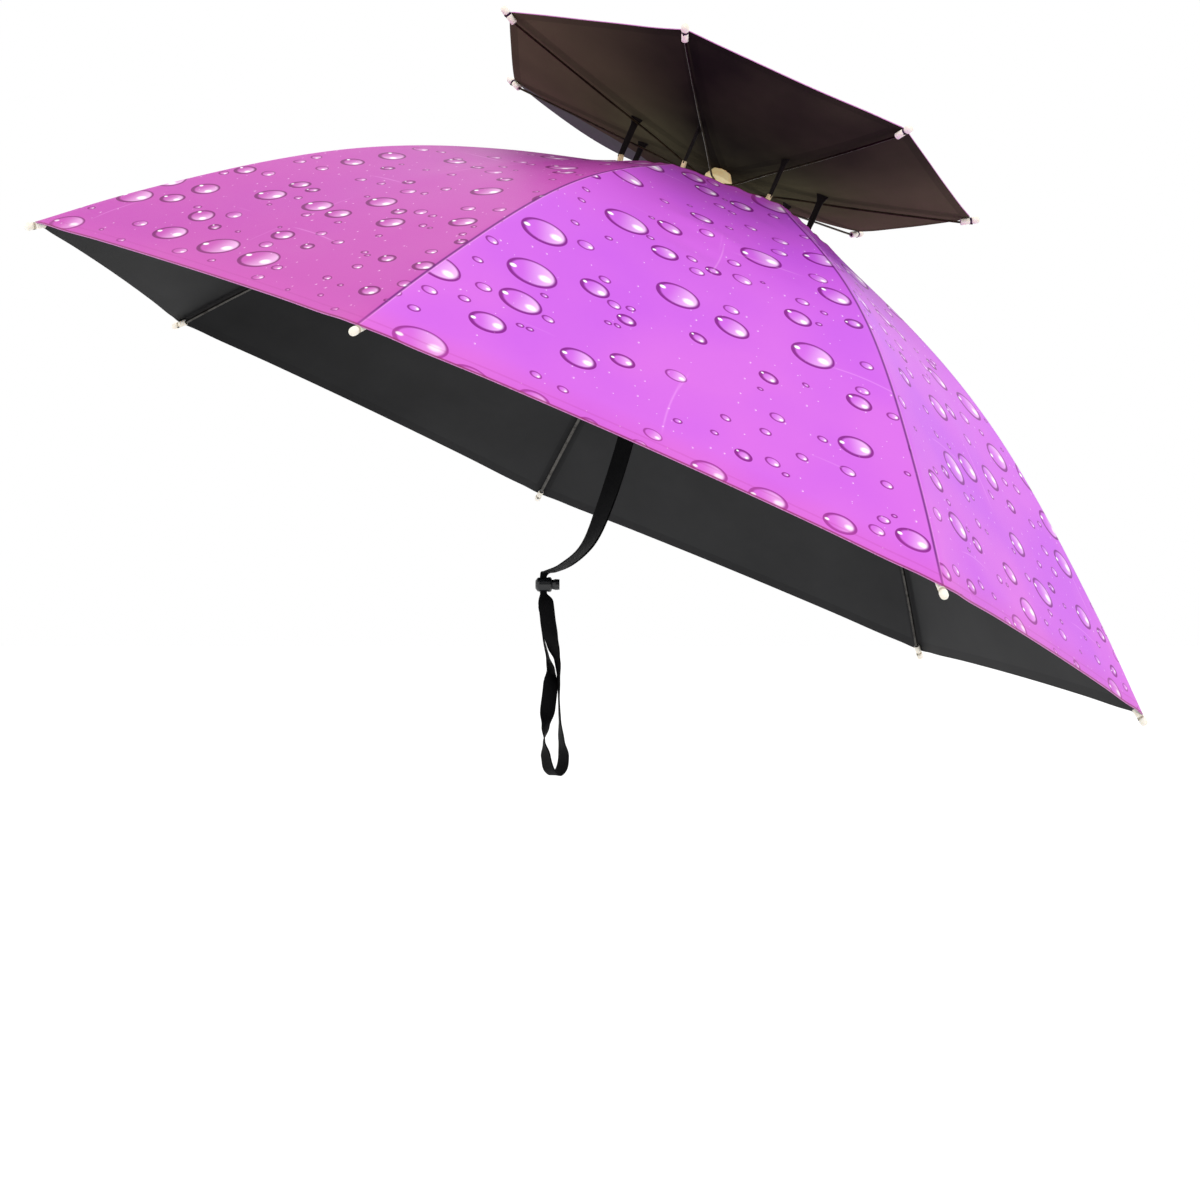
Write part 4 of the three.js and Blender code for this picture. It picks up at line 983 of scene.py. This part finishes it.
# chin strap: the same route as its solid, in metres in the hat's standing frame
strap = {
    "width": 10, "thickness": 0.9, "gatheredWidth": 4.4, "sliderForward": 61, "sliderDrop": 142.1,
    "loopLength": 123.5, "sliderHeight": 9.7, "entry": 0.8, "lap": 24, "perKey": 7, "forward": 0.09,
}
faceRoute = [
    (0.148, 0.987, 0.380, (0.95, 0, 0.3), 1),
    (0.338, 0.885, 0.632, (0.93, 0.1, 0.35), 1),
    (0.523, 0.641, 0.816, (0.85, 0.3, 0.35), 1),
    (0.754, 0.346, 0.908, (0.75, 0.45, 0.1), 1),
    (0.926, 0.115, 0.940, (0.95, 0.25, 0), 0.55),
    (0.987, 0.038, 0.947, (1, 0, 0), 0.15),
]
loopRoute = [
    (0.16, -0.32, 0.097, (1, 0, 0), 1), (0.34, -0.36, 0.211, (1, -0.1, 0), 1),
    (0.62, -0.32, 0.318, (0.75, -0.65, 0), 1), (0.90, -0.22, 0.399, (0.35, -0.94, 0), 1),
    (0.98, -0.12, 0.497, (0.15, -0.99, 0), 1), (1.00, 0.00, 0.603, (0.05, -1, 0), 1),
    (1.06, 0.10, 0.709, (0.1, -1, 0), 1), (1.16, 0.20, 0.816, (0.35, -0.93, 0), 1),
    (1.30, 0.30, 0.901, (0.65, -0.75, 0), 1), (1.16, 0.22, 0.969, (0.72, -0.7, 0), 1),
    (0.78, -0.08, 1.000, (0.7, -0.72, 0), 1), (0.38, -0.42, 0.971, (0.72, -0.7, 0), 1),
    (0.16, -0.52, 0.901, (0.6, -0.8, 0), 1), (0.04, -0.34, 0.824, (0.1, -1, 0), 1),
    (0.14, -0.24, 0.742, (-0.45, -0.9, 0), 1), (0.29, -0.22, 0.644, (-0.97, -0.25, 0), 1),
    (0.44, -0.16, 0.538, (-0.93, -0.35, 0), 1), (0.48, 0.10, 0.448, (-0.45, -0.9, 0), 1),
    (0.24, 0.34, 0.371, (-0.1, -1, 0), 1), (-0.04, 0.46, 0.269, (0, -1, 0), 1),
    (-0.12, 0.48, 0.162, (-0.15, -1, 0), 1), (-0.06, 0.36, 0.101, (-0.6, -0.8, 0), 0.6),
]


def makeChinStrap():
    slider = Vector((-strap["sliderForward"], 0, -strap["sliderDrop"]))

    def end(side):
        angle = bandAngleToward(strap["forward"], side)
        outside = band["thickness"] + 0.9
        low = toRow(bandPoint(angle, outside, -band["height"] / 2))
        high = toRow(bandPoint(angle, outside, strap["lap"] - band["height"] / 2))
        wide = toRow(bandPoint(angle + 0.01, 0, 0) - bandPoint(angle, 0, 0)).normalized()
        return low, high, wide

    def key(at, wide, full):
        return {"at": Vector(at), "wide": Vector(wide).normalized(), "full": full}

    nearLow, nearHigh, nearWide = end(-1)
    farLow, farHigh, farWide = end(1)
    face = []
    for forward, out, drop, wide, full in faceRoute:
        at = Vector((-forward * strap["sliderForward"], -out * band["width"] / 2, -drop * strap["sliderDrop"]))
        face.append(key(at * mm, wide, full))
    farFace = [
        key((k["at"].x, -k["at"].y, k["at"].z), (-k["wide"].x, k["wide"].y, -k["wide"].z), k["full"])
        for k in reversed(face)
    ]
    loop = []
    for across, out, down, wide, full in loopRoute:
        at = slider + Vector((across * strap["width"], out * strap["width"], -down * strap["loopLength"]))
        loop.append(key(at * mm, wide, full))

    def passage(side):
        rows = []
        for level in (1, 0, -1):
            height = level * (strap["sliderHeight"] / 2 + strap["entry"])
            rows.append(key((slider + Vector((0, side * 0.85, height))) * mm, (-side, 0, 0), 0))
        return rows

    keys = [key(nearHigh, nearWide, 1), key(nearLow, nearWide, 1), *face, *passage(-1), *loop]
    keys += [*reversed(passage(1)), *farFace, key(farLow, farWide, 1), key(farHigh, farWide, 1)]
    route = strapStations(smoothRoute(keys, strap["perKey"]), strap)
    piece = ribbonPiece("chinStrap", route, 6, bulge=0.15 * mm)
    applied(piece, "SOLIDIFY", thickness=strap["thickness"] * mm, offset=0)
    smooth(piece, 50)
    give(piece, strapCloth)
    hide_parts("chin_strap")
    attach(piece, "root")
    return piece


chinStrap = makeChinStrap()
print("chin strap made")


# rib tips, moulded caps that are sewn to the cloth's corners

thread = webbing("darkSewingThread", "#3a1c40", "#5a3460", 0.5)
paleThread = webbing("creamSewingThread", "#d8cbb4", "#efe6d2", 0.5)

tip = {"socket": 2.1, "socketLength": 6.2, "radius": 2.4, "length": 12.6, "sides": 20, "pulledUp": {"lower": 9, "upper": 15}}


def makeTipModel(name, wireRadius, wrapThread):
    bore = wireRadius + 0.3
    length, socket, radius = tip["length"], tip["socket"], tip["radius"]
    neck = tip["socketLength"]
    profile = [
        (bore * 0.8, 5.0), (bore, 4.6), (bore, 0.1), (bore + 0.15, 0), (socket - 0.3, 0), (socket, 0.35),
        (socket, neck - 0.3), (socket * 0.84, neck + 0.15), (socket * 0.8, neck + 0.8), (radius * 0.86, neck + 1.35),
        (radius * 0.97, neck + 1.8), (radius, neck + 2.6), (radius, length * 0.8), (radius * 0.93, length * 0.89),
        (radius * 0.74, length * 0.955), (radius * 0.4, length * 0.99), (radius * 0.08, length),
    ]
    piece = turnedPiece(name, [(r * mm, h * mm) for r, h in profile], tip["sides"])
    smooth(piece, 50)
    give(piece, tipPlastic, wrapThread)
    turns = [piece]
    for k in range(3):
        clearSelection()
        bpy.ops.mesh.primitive_torus_add(
            major_segments=20, minor_segments=6, major_radius=(socket * 0.8 + 0.2) * mm, minor_radius=0.27 * mm,
            location=(0, 0, (neck + 0.05 + 0.45 * k) * mm), rotation=(0.06 * (k - 1), 0.05, 0),
        )
        wrap = bpy.context.object
        bpy.ops.object.transform_apply(location=True, rotation=True, scale=True)
        smooth(wrap, 80)
        give(wrap, tipPlastic, wrapThread)
        for face in wrap.data.polygons:
            face.material_index = 1
        turns.append(wrap)
    return joined(name, turns)


def placeTips(kind, ribPoint, wireRadius, wrapThread):
    model = makeTipModel(f"{kind}TipModel", wireRadius, wrapThread)
    for rib in range(ribCount):
        copy = copyOf(model, f"{kind}Tip{rib + 1}")
        start, along, side, normal = tipPlace(ribPoint, rib)
        # the cloth draws each cap up, toward its own corner
        tilt = Matrix.Rotation(math.radians(-tip["pulledUp"][kind]), 4, "X")
        axes = Matrix([toRow(side), toRow(normal), toRow(along)]).transposed().to_4x4() @ tilt
        settle(copy, Matrix.Translation(toRow(start)) @ axes)
        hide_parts(f"{kind}_tip_{rib + 1}")
        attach(copy, "root")
    bpy.data.objects.remove(model)


placeTips("lower", lowerRibPoint, 1.2, paleThread)
placeTips("upper", upperRibPoint, 0.7, thread)
print("tips made")


# the frame's own metal and plastic, which stay as they are

def drawnWire(name, base, dark):
    # steel wire, drawn and plated: greyish, smooth, with a fine mottle in its colour and roughness
    material, tree, shader = newMaterial(name, Metallic=1.0, Roughness=0.34)
    coords = addNode(tree, "ShaderNodeTexCoord").outputs["Object"]
    spots = addNode(tree, "ShaderNodeTexNoise", {"Vector": coords, "Scale": 260.0, "Detail": 4.0})
    share = addNode(tree, "ShaderNodeMapRange", {0: spots.outputs["Fac"], 1: 0.45, 2: 0.7})
    mixed = addNode(tree, "ShaderNodeMix", {0: share, 6: linear(base), 7: linear(dark)}, data_type="RGBA")
    tree.links.new(mixed.outputs[2], shader.inputs["Base Color"])
    rough = addNode(tree, "ShaderNodeMapRange", {0: spots.outputs["Fac"], 3: 0.26, 4: 0.45})
    tree.links.new(rough.outputs[0], shader.inputs["Roughness"])
    return material


wireSteel = drawnWire("greyPlatedSteelWire", "#565451", "#393735")
wireBrown = drawnWire("brownPlatedSteelWire", "#30251b", "#1c1510")
for name, node in nodes.items():
    if node.hide_render:
        continue
    if name.startswith("lower_rib"):
        give(node, wireSteel)
    elif name.startswith("upper_rib"):
        give(node, wireBrown)
    elif name == "hub":
        give(node, hubPlastic)
    elif name == "top_button":
        give(node, tipPlastic)
    elif name == "strap_slider":
        give(node, sliderPlastic)
print("frame dressed")


def flatArea(ribPoint, low, steps=60):
    # the cut of seven panels: width at each step times the way along a rib
    area = 0.0
    for k in range(steps):
        a = low + (1 - low) * k / steps
        b = low + (1 - low) * (k + 1) / steps
        run = (ribPoint(0, b) - ribPoint(0, a)).length
        wide = (ribPoint(0, (a + b) / 2) - ribPoint(1, (a + b) / 2)).length
        area += run * wide * ribCount
    return area


lowerArea = flatArea(lowerRibPoint, ventShare)
upperArea = flatArea(upperRibPoint, topHoleShare)
print("flat areas", round(lowerArea, 4), round(upperArea, 4))

# camera, floor and light

camera = {"at": (-0.024351, -1.692627, -0.152109), "lens": 78.27, "sensor": 36}
cameraData = bpy.data.cameras.new("photoCamera")
cameraData.lens, cameraData.sensor_width = camera["lens"], camera["sensor"]
cameraData.sensor_fit = "HORIZONTAL"
cameraObject = bpy.data.objects.new("photoCamera", cameraData)
cameraObject.location = camera["at"]
cameraObject.rotation_euler = (math.pi / 2, 0, 0)
bpy.context.scene.collection.objects.link(cameraObject)
bpy.context.scene.camera = cameraObject

studio = {"floor": -0.72, "size": 60, "world": 1.0}
clearSelection()
bpy.ops.mesh.primitive_grid_add(x_subdivisions=4, y_subdivisions=4, size=studio["size"], location=(0, 0, studio["floor"]))
floor = bpy.context.object
floor.name = "floor"
bpy.ops.object.transform_apply(location=True)
floorPaint, floorTree, floorShader = newMaterial("matteWhiteFloor", Roughness=0.9, Specular_IOR_Level=0.1)
paper = addNode(floorTree, "ShaderNodeTexCoord").outputs["Object"]
mottle = addNode(floorTree, "ShaderNodeTexNoise", {"Vector": paper, "Scale": 6.0, "Detail": 2.0})
paint = addNode(
    floorTree, "ShaderNodeMix", {0: mottle.outputs["Fac"], 6: linear("#f7f7f7"), 7: linear("#f4f4f4")}, data_type="RGBA"
)
floorTree.links.new(paint.outputs[2], floorShader.inputs["Base Color"])
give(floor, floorPaint)

world = bpy.data.worlds.new("softStudio")
world.use_nodes = True
background = world.node_tree.nodes["Background"]
background.inputs["Color"].default_value = (1, 1, 1, 1)
background.inputs["Strength"].default_value = studio["world"]
bpy.context.scene.world = world


def softLight(name, at, strength, spread):
    # a wide soft panel so far away that it lights hat and floor evenly
    data = bpy.data.lights.new(name, "SUN")
    data.energy, data.angle = strength, math.radians(spread)
    lamp = bpy.data.objects.new(name, data)
    lamp.location = at
    lamp.rotation_euler = Vector(at).to_track_quat("Z", "Y").to_euler()
    bpy.context.scene.collection.objects.link(lamp)


softLight("keyLight", (-3.0, -4.4, 5.0), 0.74, 40)
softLight("sideLight", (5.0, -2.4, 2.4), 0.36, 50)
softLight("backLight", (1.4, 5.0, 4.0), 0.4, 50)
bpy.context.scene.view_settings.view_transform = "Standard"
print("studio made")
